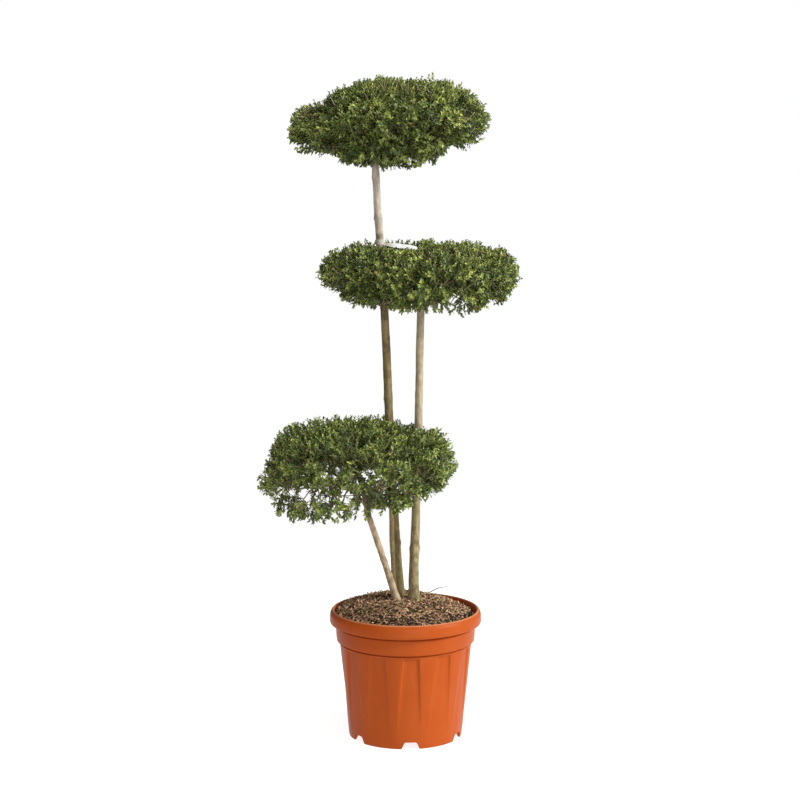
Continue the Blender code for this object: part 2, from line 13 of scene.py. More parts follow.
import bmesh
import bpy
import numpy as np
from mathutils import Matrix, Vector

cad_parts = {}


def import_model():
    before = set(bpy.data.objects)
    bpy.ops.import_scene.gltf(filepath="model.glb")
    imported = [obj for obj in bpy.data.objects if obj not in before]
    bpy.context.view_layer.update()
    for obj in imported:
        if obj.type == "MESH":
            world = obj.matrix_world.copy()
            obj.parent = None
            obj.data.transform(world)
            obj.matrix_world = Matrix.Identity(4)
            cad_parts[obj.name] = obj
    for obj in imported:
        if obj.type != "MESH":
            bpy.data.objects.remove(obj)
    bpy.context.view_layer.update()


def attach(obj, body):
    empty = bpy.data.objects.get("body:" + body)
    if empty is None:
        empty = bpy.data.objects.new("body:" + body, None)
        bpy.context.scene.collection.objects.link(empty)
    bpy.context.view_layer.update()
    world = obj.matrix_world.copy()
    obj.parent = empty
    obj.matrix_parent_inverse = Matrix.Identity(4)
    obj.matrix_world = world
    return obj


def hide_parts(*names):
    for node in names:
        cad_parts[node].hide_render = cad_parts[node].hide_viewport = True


log = logging.getLogger("topiary")
BODY = "root"
Colour = tuple[float, float, float]
Band = tuple[float, float]
Array = np.ndarray
Dice = np.random.Generator
Thing = bpy.types.Object
Material = bpy.types.Material
Socket = bpy.types.NodeSocket
Mesh = tuple[Array, Array]
WHITE = (1.0, 1.0, 1.0, 1.0)
ORIGIN = (0.0, 0.0, 0.0)
UP = np.array([0.0, 0.0, 1.0])
TINY = 1e-6

# a colour Mix node's share, first and second inputs and its output
MIX_SHARE, MIX_FIRST, MIX_SECOND, MIX_RESULT = 0, 6, 7, 2


# ---------------- shader maths


def operator(operation: str, swapped: bool = False) -> Callable[["Signal", Any], "Signal"]:
    """Makes one arithmetic operator of signals.

    Args:
        operation: the Math node's operation.
        swapped: whether the signal comes second.

    Returns:
        The operator.
    """

    def combine(signal: "Signal", other: Any) -> "Signal":
        """Adds the node."""
        inputs = {0: other, 1: signal} if swapped else {0: signal, 1: other}
        return signal.wiring.node("ShaderNodeMath", {"operation": operation}, inputs)

    return combine


class Signal:
    """A value on its way through a material's nodes, used in sums like a number."""

    def __init__(self, wiring: "Wiring", socket: Socket) -> None:
        """Keeps the node tree that is being built and the output that carries the value."""
        self.wiring = wiring
        self.socket = socket

    __add__ = operator("ADD")
    __radd__ = operator("ADD", swapped=True)
    __rsub__ = operator("SUBTRACT", swapped=True)
    __mul__ = operator("MULTIPLY")
    __rmul__ = operator("MULTIPLY", swapped=True)

    def above(self, low: float, high: float) -> "Signal":
        """Eases from 0 at low to 1 at high."""
        inputs = {"Value": self, "From Min": low, "From Max": high}
        return self.wiring.node("ShaderNodeMapRange", {"interpolation_type": "SMOOTHSTEP"}, inputs)


class Wiring:
    """Builds up one node tree."""

    def __init__(self, tree: bpy.types.NodeTree) -> None:
        """Keeps the tree that nodes are added to."""
        self.tree = tree

    def node(self, kind: str, settings: dict, inputs: dict, output: Union[int, str] = 0) -> Signal:
        """Adds any node.

        Args:
            kind: the node's type.
            settings: its properties, set first.
            inputs: values or signals by socket name or index.
            output: the socket that is read.

        Returns:
            The chosen output.
        """
        made = self.tree.nodes.new(kind)
        for key, value in settings.items():
            setattr(made, key, value)
        for key, value in inputs.items():
            self.plug(made.inputs[key], value)
        return Signal(self, made.outputs[output])

    def plug(self, socket: Socket, value: Any) -> None:
        """Links a signal to an input, or sets it to a plain value.

        Args:
            socket: the input.
            value: a number, a colour or a signal.
        """
        if isinstance(value, Signal):
            self.tree.links.new(value.socket, socket)
        else:
            socket.default_value = value

    def axis(self, place: Signal, name: str) -> Signal:
        """One coordinate of a place, by the axis's name."""
        return self.node("ShaderNodeSeparateXYZ", {}, {0: place}, name)


@dataclass(frozen=True)
class Grain:
    """A layer of noise or cells: its fineness, detail, stretch by axis and strength of the fine layers."""

    scale: float
    detail: float = 2.0
    stretch: tuple[float, float, float] = (1.0, 1.0, 1.0)
    rough: float = 0.5


class Recipe(Wiring):
    """Mixes one procedural material from nodes."""

    def __init__(self, name: str) -> None:
        """Starts a Principled material.

        Args:
            name: the material's name.
        """
        self.material = bpy.data.materials.new(name)
        self.material.use_nodes = True
        super().__init__(self.material.node_tree)
        self.shader = self.tree.nodes["Principled BSDF"]
        self.place = self.node("ShaderNodeTexCoord", {}, {}, "Object")

    def spread(self, grain: Grain) -> Signal:
        """Object coordinates, scaled by axis where the grain is stretched."""
        if grain.stretch == (1.0, 1.0, 1.0):
            return self.place
        return self.node("ShaderNodeMapping", {}, {"Vector": self.place, "Scale": grain.stretch})

    def noise(self, grain: Grain) -> Signal:
        """Soft noise of a grain, round 0.5."""
        inputs = {"Vector": self.spread(grain), "Scale": grain.scale, "Detail": grain.detail}
        return self.node("ShaderNodeTexNoise", {}, {**inputs, "Roughness": grain.rough})

    def cells(self, grain: Grain) -> Signal:
        """The distance to the nearest of many points scattered with a grain."""
        inputs = {"Vector": self.spread(grain), "Scale": grain.scale}
        return self.node("ShaderNodeTexVoronoi", {}, inputs, "Distance")

    def blend(self, share: Any, first: Any, second: Any) -> Signal:
        """Mixes two colours; a share of 0 gives the first and 1 the second."""
        ends = {MIX_SHARE: share, MIX_FIRST: self.paint(first), MIX_SECOND: self.paint(second)}
        return self.node("ShaderNodeMix", {"data_type": "RGBA"}, ends, MIX_RESULT)

    @staticmethod
    def paint(colour: Any) -> Any:
        """A plain colour with its alpha, or the signal as it is."""
        return colour if isinstance(colour, Signal) else (*colour, 1.0)

    def feed(self, socket: str, value: Any) -> None:
        """Sets or links one of the shader's sockets, by its name."""
        self.plug(self.shader.inputs[socket], value)

    def surface(self, colour: Any, rough: Any, shine: float) -> None:
        """Feeds the shader's plain looks.

        Args:
            colour: the base colour.
            rough: the roughness.
            shine: the specular level.
        """
        self.feed("Base Color", colour)
        self.feed("Roughness", rough)
        self.feed("Specular IOR Level", shine)

    def bump(self, height: Signal, distance: float, strength: float = 1.0) -> Material:
        """Feeds a relief into the shader's normal, which ends the recipe.

        Args:
            height: the relief, 0 to 1.
            distance: its depth in metres.
            strength: how much of it shows.

        Returns:
            The material.
        """
        inputs = {"Height": height, "Distance": distance, "Strength": strength}
        self.feed("Normal", self.node("ShaderNodeBump", {}, inputs))
        return self.material


def shade(colour: Colour, factor: float) -> Colour:
    """A colour with every channel multiplied."""
    return tuple(channel * factor for channel in colour)


def tint(colour: Colour, factors: Colour) -> Colour:
    """A colour with each channel multiplied by its own factor."""
    return tuple(channel * factor for channel, factor in zip(colour, factors))


def weigh(signals: Sequence[Signal], weights: Sequence[float]) -> Signal:
    """Adds up signals, each with its weight.

    Args:
        signals: the signals.
        weights: as many weights.

    Returns:
        Their sum.
    """
    total = signals[0] * weights[0]
    for signal, weight in zip(signals[1:], weights[1:]):
        total = total + signal * weight
    return total


@dataclass(frozen=True)
class PotPlastic:
    """Moulded terracotta-coloured plastic, a little chalky and scuffed, with a painted highlight along the
    lip's crest.

    A band gives the values of a grain between which its effect comes in.
    """

    body: Colour = (0.338, 0.0570, 0.0070)
    worn: Colour = (0.370, 0.076, 0.014)
    grime: Colour = (0.150, 0.030, 0.006)
    # the paler tone of the painted highlight along the lip's crest, and the heights over which it is blended
    # in
    dust_and_sheen: Colour = (0.520, 0.235, 0.120)
    crest: Band = (0.3762, 0.3800)
    cloudy: Grain = Grain(14.0, 4.0)
    streaks: Grain = Grain(60.0, 3.0, (1.0, 1.0, 0.08))
    worn_weights: tuple = (0.7, 0.3)
    worn_band: Band = (0.40, 0.70)
    worn_share: float = 0.35
    specks: Grain = Grain(190.0, rough=0.7)
    speck_band: Band = (0.63, 0.80)
    speckled: Grain = Grain(9.0)
    speckled_band: Band = (0.45, 0.65)
    speck_share: float = 0.55
    roughness: tuple = (0.32, 0.14, 0.2)
    fine: Grain = Grain(900.0)
    coarse: Grain = Grain(38.0, 3.0)
    grain_weights: tuple = (0.35, 0.65)
    grain_depth: float = 0.00045
    shine: float = 0.08

    def mix(self) -> Material:
        """Returns the plastic's material."""
        recipe = Recipe("terracotta_plastic")
        cloudy = recipe.noise(self.cloudy)
        worn = weigh((cloudy, recipe.noise(self.streaks)), self.worn_weights).above(*self.worn_band)
        specks = recipe.noise(self.specks).above(*self.speck_band)
        specks = specks * recipe.noise(self.speckled).above(*self.speckled_band)
        tone = recipe.blend(worn * self.worn_share, self.body, self.worn)
        tone = recipe.blend(specks * self.speck_share, tone, self.grime)
        # painted highlight: a paler tone blended in by height over the lip's crest, where light catches the
        # rounded lip
        dusty_and_sheened = recipe.axis(recipe.place, "Z").above(*self.crest) * (0.35 + cloudy * 0.5)
        plain, by_cloud, by_speck = self.roughness
        rough = plain + cloudy * by_cloud + specks * by_speck
        recipe.surface(recipe.blend(dusty_and_sheened, tone, self.dust_and_sheen), rough, self.shine)
        grain = weigh((recipe.noise(self.fine), recipe.noise(self.coarse)), self.grain_weights)
        return recipe.bump(grain, self.grain_depth, 0.5)


@dataclass(frozen=True)
class Bark:
    """Smooth privet bark: pale fibres over a darker skin, breathing pores, faint node rings and algae.

    A bark with an upper tone turns to it, and loses its algae, between the two heights of its turns.
    """

    name: str
    pale: Colour
    deep: Colour
    algae: Colour
    algae_share: float
    upper: Optional[Colour] = None
    turns: Band = (0.0, 1.0)
    upper_deep: float = 0.60
    algae_loss: float = 0.85
    fibre: Grain = Grain(170.0, 4.0, (1.0, 1.0, 0.14), 0.65)
    mottle: Grain = Grain(85.0, 3.0, (1.0, 1.0, 0.60), 0.6)
    patches: Grain = Grain(24.0, 3.0, (1.0, 1.0, 0.45))
    tone_weights: tuple = (0.30, 0.42, 0.28)
    pale_band: Band = (0.41, 0.60)
    algal: Grain = Grain(13.0, 3.0)
    algal_band: Band = (0.40, 0.64)
    rings: Grain = Grain(34.0, 1.0, (0.12, 0.12, 1.0))
    ring_band: Band = (0.58, 0.72)
    ring_shade: float = 0.75
    pores: Grain = Grain(300.0, stretch=(0.50, 0.50, 1.3))
    pore_band: Band = (0.08, 0.24)
    pore_shade: float = 0.4
    mark_share: float = 0.45
    relief_weights: tuple = (0.45, 0.30, 0.25)
    grain_depth: float = 0.0020
    shine: float = 0.22

    def mix(self) -> Material:
        """Returns the bark's material."""
        recipe = Recipe(self.name)
        fibre, mottle, patches = (recipe.noise(grain) for grain in (self.fibre, self.mottle, self.patches))
        pores = recipe.cells(self.pores)
        pale, deep, algae = self.pale, self.deep, self.algae_share
        if self.upper:
            height = recipe.axis(recipe.place, "Z").above(*self.turns)
            pale = recipe.blend(height, self.pale, self.upper)
            deep = recipe.blend(height, self.deep, shade(self.upper, self.upper_deep))
            algae = algae * (1.0 - height * self.algae_loss)
        fibrous = weigh((fibre, mottle, patches), self.tone_weights).above(*self.pale_band)
        tone = recipe.blend(fibrous, deep, pale)
        tone = recipe.blend(recipe.noise(self.algal).above(*self.algal_band) * algae, tone, self.algae)
        ringed = recipe.noise(self.rings).above(*self.ring_band) * self.mark_share
        tone = recipe.blend(ringed, tone, shade(self.deep, self.ring_shade))
        pitted = (1.0 - pores.above(*self.pore_band)) * self.mark_share
        tone = recipe.blend(pitted, tone, shade(self.deep, self.pore_shade))
        recipe.surface(tone, 0.70 + fibre * 0.2, self.shine)
        return recipe.bump(weigh((fibre, mottle, pores), self.relief_weights), self.grain_depth)


@dataclass(frozen=True)
class Flake:
    """The dry fibre of one tone of bark mulch, also used for the compost under it."""

    name: str
    tone: Colour
    spread: float = 0.45
    mottle: Grain = Grain(130.0, 3.0)
    grain: Grain = Grain(700.0)
    weights: tuple = (0.7, 0.3)
    pale_band: Band = (0.36, 0.64)
    grain_depth: float = 0.0008
    shine: float = 0.2

    def mix(self) -> Material:
        """Returns the flake's material."""
        recipe = Recipe(self.name)
        grain = recipe.noise(self.grain)
        uneven = weigh((recipe.noise(self.mottle), grain), self.weights).above(*self.pale_band)
        tone = recipe.blend(uneven, shade(self.tone, 1 - self.spread), shade(self.tone, 1 + self.spread))
        recipe.surface(tone, 0.86 + grain * 0.12, self.shine)
        return recipe.bump(grain, self.grain_depth, 0.8)


@dataclass(frozen=True)
class LeafSkin:
    """The waxy upper face of one tone of leaf, and the tone of the older leaves below such a tip."""

    name: str
    tone: Colour
    gloss: float
    older: str
    fresh: Colour = (1.38, 1.28, 1.15)
    deep: Colour = (0.62, 0.70, 0.80)
    mottle: Grain = Grain(75.0)
    fresh_band: Band = (0.34, 0.66)
    veins: Grain = Grain(420.0, 1.0)
    vein_depth: float = 0.0004
    shine: float = 0.48

    def mix(self) -> Material:
        """Returns the leaf's material."""
        recipe = Recipe(self.name)
        mottle = recipe.noise(self.mottle)
        ends = tint(self.tone, self.deep), tint(self.tone, self.fresh)
        tone = recipe.blend(mottle.above(*self.fresh_band), *ends)
        recipe.surface(tone, self.gloss + mottle * 0.12, self.shine)
        return recipe.bump(recipe.noise(self.veins), self.vein_depth, 0.4)


@dataclass(frozen=True)
class Card:
    """The pale plastic-coated card of a blank plant label, greyer towards its strap."""

    face: Colour = (0.95, 0.94, 0.92)
    stained: Colour = (0.86, 0.80, 0.76)
    strap: Colour = (0.50, 0.44, 0.36)
    turns: Band = (-0.060, -0.022)
    stain: Grain = Grain(45.0, 3.0)
    stain_band: Band = (0.45, 0.70)
    stain_share: float = 0.6
    grain: Grain = Grain(350.0)
    grain_depth: float = 0.0002

    def mix(self) -> Material:
        """Returns the card's material."""
        recipe = Recipe("label_card")
        stain = recipe.noise(self.stain)
        tone = recipe.blend(stain.above(*self.stain_band) * self.stain_share, self.face, self.stained)
        along = recipe.axis(recipe.place, "X").above(*self.turns)
        recipe.feed("Base Color", recipe.blend(along, self.strap, tone))
        recipe.feed("Roughness", 0.38 + stain * 0.2)
        return recipe.bump(recipe.noise(self.grain), self.grain_depth, 0.4)


@dataclass(frozen=True)
class StudioFloor:
    """Matt white studio floor, lit a little from below."""

    tone: Colour = (0.40, 0.40, 0.40)
    dusty_and_sheened: Colour = (0.36, 0.36, 0.36)
    dust_and_sheen: Grain = Grain(3.0)
    glow: float = 0.84
    shine: float = 0.1

    def mix(self) -> Material:
        """Returns the floor's material."""
        recipe = Recipe("studio_floor")
        recipe.surface(recipe.blend(recipe.noise(self.dust_and_sheen) * 0.1, self.tone, self.dusty_and_sheened), 0.9, self.shine)
        recipe.feed("Emission Color", WHITE)
        recipe.feed("Emission Strength", self.glow)
        return recipe.material


# ---------------- modelling by hand


class Workpiece:
    """One mesh, shaped in edit mode by operators."""

    weld = 0.00001

    def __init__(self, name: str) -> None:
        """Takes the primitive just added, names it and opens it for editing.

        Args:
            name: the piece's name.
        """
        self.thing = bpy.context.object
        self.thing.name = name
        self.thing.data.name = name
        bpy.ops.object.mode_set(mode="EDIT")
        bpy.ops.mesh.select_mode(type="VERT")
        bpy.ops.mesh.select_all(action="SELECT")

    @staticmethod
    def clear() -> None:
        """Leaves nothing selected before a primitive is added."""
        if bpy.context.object and bpy.context.object.mode != "OBJECT":
            bpy.ops.object.mode_set(mode="OBJECT")
        bpy.ops.object.select_all(action="DESELECT")

    @classmethod
    def circle(cls, name: str, sides: int, radius: float, height: float = 0.0) -> "Workpiece":
        """Starts from a level circle on the Z axis.

        Args:
            name: the piece's name.
            sides: its number of points.
            radius: its radius.
            height: its level.

        Returns:
            The new piece, in edit mode, all selected.
        """
        cls.clear()
        bpy.ops.mesh.primitive_circle_add(vertices=sides, radius=radius)
        made = cls(name)
        shift((0.0, 0.0, height))
        return made

    @classmethod
    def cube(cls, name: str, size: Sequence[float], middle: Sequence[float]) -> "Workpiece":
        """Starts from a block.

        Args:
            name: the piece's name.
            size: its size along each axis.
            middle: its centre.

        Returns:
            The new piece, in edit mode, all selected.
        """
        cls.clear()
        bpy.ops.mesh.primitive_cube_add(size=1.0)
        made = cls(name)
        resize(size[0], size[1], up=size[2])
        shift(middle)
        return made

    @staticmethod
    def draw_on(step: Sequence[float], grow: float, centre: Sequence[float], closed: bool = False) -> None:
        """Extrudes what is selected to the next ring.

        Args:
            step: how far the new ring lies from the last.
            grow: how much wider it is.
            centre: its centre.
            closed: whether a face is drawn on, as opposed to the edge of an open wall.
        """
        extrude = bpy.ops.mesh.extrude_region_move if closed else bpy.ops.mesh.extrude_edges_move
        extrude(TRANSFORM_OT_translate={"value": tuple(step)})
        resize(grow, grow, centre)

    def pick(
        self, test: Optional[Callable[[Vector], bool]] = None, numbers: Optional[Iterable[int]] = None
    ) -> int:
        """Selects vertices by their numbers and by a test of their place, and nothing else.

        Args:
            test: says yes or no to a place, or None for all.
            numbers: the vertices' numbers in the mesh, or None for all.

        Returns:
            How many were selected.
        """
        bpy.ops.mesh.select_all(action="DESELECT")
        shape = bmesh.from_edit_mesh(self.thing.data)
        shape.verts.ensure_lookup_table()
        tried = shape.verts if numbers is None else [shape.verts[number] for number in numbers]
        found = [vertex for vertex in tried if test is None or test(vertex.co)]
        for vertex in found:
            vertex.select = True
        shape.select_flush_mode()
        shape.select_flush(True)
        bmesh.update_edit_mesh(self.thing.data, loop_triangles=False, destructive=False)
        return len(found)

    def close(self, smooth: float = 40.0) -> Thing:
        """Merges doubles, turns the faces outwards, leaves edit mode and shades the piece.

        Args:
            smooth: the angle under which edges stay smooth, in degrees.

        Returns:
            The finished object.
        """
        bpy.ops.mesh.select_all(action="SELECT")
        bpy.ops.mesh.remove_doubles(threshold=self.weld)
        bpy.ops.mesh.select_all(action="SELECT")
        bpy.ops.mesh.normals_make_consistent(inside=False)
        bpy.ops.object.mode_set(mode="OBJECT")
        bpy.ops.object.shade_smooth_by_angle(angle=math.radians(smooth))
        return self.thing


def apply_modifier(thing: Thing, kind: str, **settings: Any) -> None:
    """Adds a modifier to an object and applies it.

    Args:
        thing: the object.
        kind: the modifier's type.
        **settings: its properties.
    """
    bpy.context.view_layer.objects.active = thing
    made = thing.modifiers.new(kind.lower(), kind)
    for key, value in settings.items():
        setattr(made, key, value)
    bpy.ops.object.modifier_apply(modifier=made.name)


def resize(across: float, along: float, centre: Sequence[float] = ORIGIN, up: float = 1.0) -> None:
    """Resizes what is selected by axis, about a centre."""
    bpy.ops.transform.resize(value=(across, along, up), center_override=tuple(centre))


def shift(step: Sequence[float]) -> None:
    """Moves what is selected by a step."""
    bpy.ops.transform.translate(value=tuple(step))


def emboss(thing: Thing, kind: str, size: float, **settings: Any) -> None:
    """Presses a procedural relief into a mesh.

    Args:
        thing: the object.
        kind: the relief's texture.
        size: its grain.
        **settings: the displacement's other properties.
    """
    texture = bpy.data.textures.new("relief", kind)
    texture.noise_scale = size
    apply_modifier(thing, "DISPLACE", texture=texture, **settings)
    bpy.data.textures.remove(texture)


def spin(degrees: float, axis: str = "Z", centre: Sequence[float] = ORIGIN) -> None:
    """Turns what is selected about an axis through a centre, by degrees, anticlockwise from above about Z."""
    bpy.ops.transform.rotate(value=-math.radians(degrees), orient_axis=axis, center_override=tuple(centre))


def present(thing: Thing, finish: Material, slot: str, *nodes: str) -> Thing:
    """Dresses a finished piece and puts it on the plant's body.

    Args:
        thing: the piece.
        finish: its material.
        slot: the record's material slot; not used.
        *nodes: the solids that it stands for.

    Returns:
        The piece.
    """
    thing.data.materials.clear()
    thing.data.materials.append(finish)
    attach(thing, BODY)
    if nodes:
        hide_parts(*nodes)
    log.info("%s: %d faces", thing.name, len(thing.data.polygons))
    return thing


def mesh_from_arrays(name: str, points: Array, faces: Array) -> Thing:
    """Makes one object of many small things.

    Args:
        name: the object's name.
        points: places, n by 3.
        faces: corner numbers, m by 3 or m by 4.

    Returns:
        The new object.
    """
    mesh = bpy.data.meshes.new(name)
    mesh.vertices.add(len(points))
    mesh.vertices.foreach_set("co", points.astype(np.float32).ravel())
    mesh.loops.add(faces.size)
    mesh.loops.foreach_set("vertex_index", faces.astype(np.int32).ravel())
    mesh.polygons.add(len(faces))
    mesh.polygons.foreach_set("loop_start", np.arange(0, faces.size, faces.shape[1], dtype=np.int32))
    mesh.update(calc_edges=True)
    made = bpy.data.objects.new(name, mesh)
    bpy.context.scene.collection.objects.link(made)
    return made


# ---------------- limbs


def spline(guides: Sequence[Sequence[float]], share: float) -> Vector:
    """A smooth curve through guide points.

    Args:
        guides: the points.
        share: how far along, 0 to 1.

    Returns:
        The place.
    """
    places = [Vector(guide) for guide in guides]
    spans = [(b - a).length for a, b in zip(places, places[1:])]
    walk = share * sum(spans)
    index = 0
    while index < len(spans) - 1 and walk > spans[index]:
        walk -= spans[index]
        index += 1
    t = min(1.0, walk / spans[index])
    p1, p2 = places[index], places[index + 1]
    p0 = places[index - 1] if index else p1 * 2 - p2
    p3 = places[index + 2] if index + 2 < len(places) else p2 * 2 - p1
    bend = (p2 - p0) * t + (p0 * 2 - p1 * 5 + p2 * 4 - p3) * t**2 + (p1 * 3 - p0 - p2 * 3 + p3) * t**3
    return p1 + bend * 0.5


def look_up(rows: Array, z: Any) -> list:
    """The x, y and radius that a stem's table has at some heights."""
    return [np.interp(z, rows[:, 0], rows[:, column]) for column in (1, 2, 3)]


@dataclass(frozen=True)
class Stem:
    """A bare limb through a few guide points, with its radius at the foot, middle and tip."""

    name: str
    guides: tuple
    radii: tuple
    knots: tuple
    bark: Bark
    scars: tuple = ()
    sides: int = 30
    ring_gap: float = 0.0075
    sunk: float = 0.012
    ovality: float = 0.035
    ease: float = 1.6
    flare: float = 0.16
    flare_fall: float = 38.0
    knot_half: float = 0.012
    scar_rings: tuple = ((1.0, 0.25), (0.75, 0.30), (0.5, 0.30), (0.3, 0.15))
    relief: tuple = (
        ("CLOUDS", 0.030, 3.0, 0.0016),
        ("CLOUDS", 0.009, 6.0, 0.0010),
        ("STUCCI", 0.006, 1.6, 0.0005),
    )

    def radius(self, share: float) -> float:
        """The radius at a share of the length: a short root flare, then an even taper.

        Args:
            share: how far along, 0 to 1.

        Returns:
            The radius.
        """
        foot, middle, tip = self.radii
        if share < 0.5:
            radius = foot + (middle - foot) * (1 - (1 - share * 2) ** self.ease)
        else:
            radius = middle + (tip - middle) * (share * 2 - 1)
        radius += foot * self.flare * math.exp(-share * self.flare_fall)
        for place, height in self.knots:
            radius += height * math.exp(-(((share - place) / self.knot_half) ** 2))
        return radius

    def table(self, steps: int = 240) -> Array:
        """The stem's middle and radius by height.

        Args:
            steps: how many levels.

        Returns:
            Rows of z, x, y and radius.
        """
        rows = []
        for index in range(steps + 1):
            share = index / steps
            middle = spline(self.guides, share)
            rows.append((middle.z, middle.x, middle.y, self.radius(share)))
        return np.array(rows)

    def at(self, height: float) -> tuple[Vector, float]:
        """The middle and radius at a height.

        Args:
            height: the level, z.

        Returns:
            The middle and the radius.
        """
        x, y, radius = look_up(self.table(), height)
        return Vector((x, y, height)), float(radius)

    def build(self) -> Thing:
        """Draws the stem up ring by ring, then gives it the bark's relief.

        Returns:
            The stem's mesh.
        """
        length = sum((Vector(b) - Vector(a)).length for a, b in zip(self.guides, self.guides[1:]))
        rings = int(length / self.ring_gap)
        at, radius = spline(self.guides, 0.0), self.radius(0.0)
        work = Workpiece.circle(self.name, self.sides, radius, at.z - self.sunk)
        shift((at.x, at.y, 0.0))
        resize(1 + self.ovality, 1 - self.ovality, at)
        bpy.ops.mesh.edge_face_add()
        bpy.ops.mesh.extrude_region_move(TRANSFORM_OT_translate={"value": (0.0, 0.0, self.sunk)})
        for index in range(1, rings + 1):
            middle, wide = spline(self.guides, index / rings), self.radius(index / rings)
            work.draw_on(middle - at, wide / radius, middle, closed=True)
            at, radius = middle, wide
        self.raise_scars(work)
        made = work.close(60.0)
        self.roughen(made)
        return made

    def raise_scars(self, work: Workpiece) -> None:
        """Swells the bark where a side shoot was cut off, as (share, degrees, width, height).

        Args:
            work: the stem.
        """
        for share, degrees, width, height in self.scars:
            middle, radius = spline(self.guides, share), self.radius(share)
            angle = math.radians(degrees)
            out = Vector((math.sin(angle), -math.cos(angle), 0.0))
            spot = middle + out * radius
            for ring, lift in self.scar_rings:
                if work.pick(lambda place, reach=width * ring: (place - spot).length < reach):
                    shift(out * height * lift)

    def roughen(self, made: Thing) -> None:
        """Presses the bark's long furrows and small lumps into the mesh.

        Args:
            made: the stem's mesh.
        """
        guide = bpy.data.objects.new("bark_guide", None)
        bpy.context.scene.collection.objects.link(guide)
        for kind, size, stretch, depth in self.relief:
            guide.scale = (1.0, 1.0, stretch)
            bpy.context.view_layer.update()
            emboss(made, kind, size, texture_coords="OBJECT", texture_coords_object=guide, strength=depth)
        bpy.data.objects.remove(guide)


PALE_BARK = Bark("bark_pinkish_beige", (0.49, 0.355, 0.238), (0.20, 0.135, 0.085), (0.26, 0.225, 0.10), 0.30)
SHADED_BARK = Bark("bark_olive_shade", (0.31, 0.228, 0.108), (0.120, 0.085, 0.038), (0.18, 0.16, 0.06), 0.50)
OLIVE_BARK = Bark(
    "bark_olive_brown", (0.272, 0.196, 0.092), (0.110, 0.077, 0.034), (0.18, 0.155, 0.06), 0.45,
    (0.78, 0.65, 0.53), (1.25, 1.62),
)
BEIGE_BARK = Bark(
    "bark_light_beige", (0.345, 0.268, 0.140), (0.130, 0.095, 0.045), (0.23, 0.205, 0.085), 0.55,
    (0.47, 0.38, 0.25), (0.62, 1.05),
)

LEANING_STEM = Stem(
    "bark_stem_leaning",
    ((-0.0252, -0.005, 0.4053), (-0.0589, -0.012, 0.513), (-0.1003, -0.020, 0.639), (-0.1140, -0.022, 0.676)),
    (0.0125, 0.0094, 0.0086),
    ((0.45, 0.0010),),
    PALE_BARK,
    ((0.30, 100.0, 0.007, 0.0018), (0.62, -70.0, 0.006, 0.0015)),
)
SLENDER_STEM = Stem(
    "bark_stem_slender",
    ((-0.0330, 0.022, 0.4053), (-0.0357, 0.023, 0.505), (-0.0401, 0.024, 0.581), (-0.0424, 0.022, 0.694)),
    (0.0082, 0.0072, 0.0066),
    ((0.62, 0.0007),),
    SHADED_BARK,
    ((0.25, -80.0, 0.005, 0.0012),),
)
MAIN_STEM = Stem(
    "bark_stem_main",
    (
        (-0.0163, 0.050, 0.4053),
        (-0.0289, 0.048, 0.575),
        (-0.0440, 0.044, 0.830),
        (-0.0533, 0.040, 1.070),
        (-0.0620, 0.036, 1.260),
        (-0.0762, 0.030, 1.485),
        (-0.0821, 0.026, 1.576),
        (-0.0882, 0.020, 1.700),
    ),
    (0.0146, 0.0121, 0.0100),
    ((0.46, 0.0008), (0.865, 0.0010), (0.965, 0.0008)),
    OLIVE_BARK,
    (
        (0.13, 80.0, 0.009, 0.0022),
        (0.46, -75.0, 0.008, 0.0016),
        (0.60, 60.0, 0.008, 0.0015),
        (0.868, -85.0, 0.008, 0.0020),
        (0.93, 70.0, 0.007, 0.0014),
        (0.965, -80.0, 0.007, 0.0016),
    ),
)
RIGHT_STEM = Stem(
    "bark_stem_right",
    (
        (0.0276, 0.005, 0.4053),
        (0.0243, 0.008, 0.460),
        (0.0262, 0.010, 0.540),
        (0.0300, 0.014, 0.642),
        (0.0392, 0.022, 0.986),
        (0.0419, 0.028, 1.165),
        (0.0448, 0.030, 1.270),
    ),
    (0.0158, 0.0112, 0.0108),
    ((0.19, 0.0015), (0.60, 0.0007)),
    BEIGE_BARK,
    (
        (0.19, 85.0, 0.012, 0.0016),
        (0.10, -60.0, 0.009, 0.0012),
        (0.40, 75.0, 0.008, 0.0015),
        (0.70, -80.0, 0.008, 0.0016),
        (0.84, 60.0, 0.007, 0.0014),
    ),
)
STEMS = (LEANING_STEM, SLENDER_STEM, MAIN_STEM, RIGHT_STEM)


# ---------------- pot


def curve(steps: Sequence[Sequence[float]], radius: float, height: float) -> list[tuple[float, float]]:
    """Rings of a wall, each by its step outwards and upwards off a corner of this radius and height."""
    return [(radius + out, height + up) for out, up in steps]


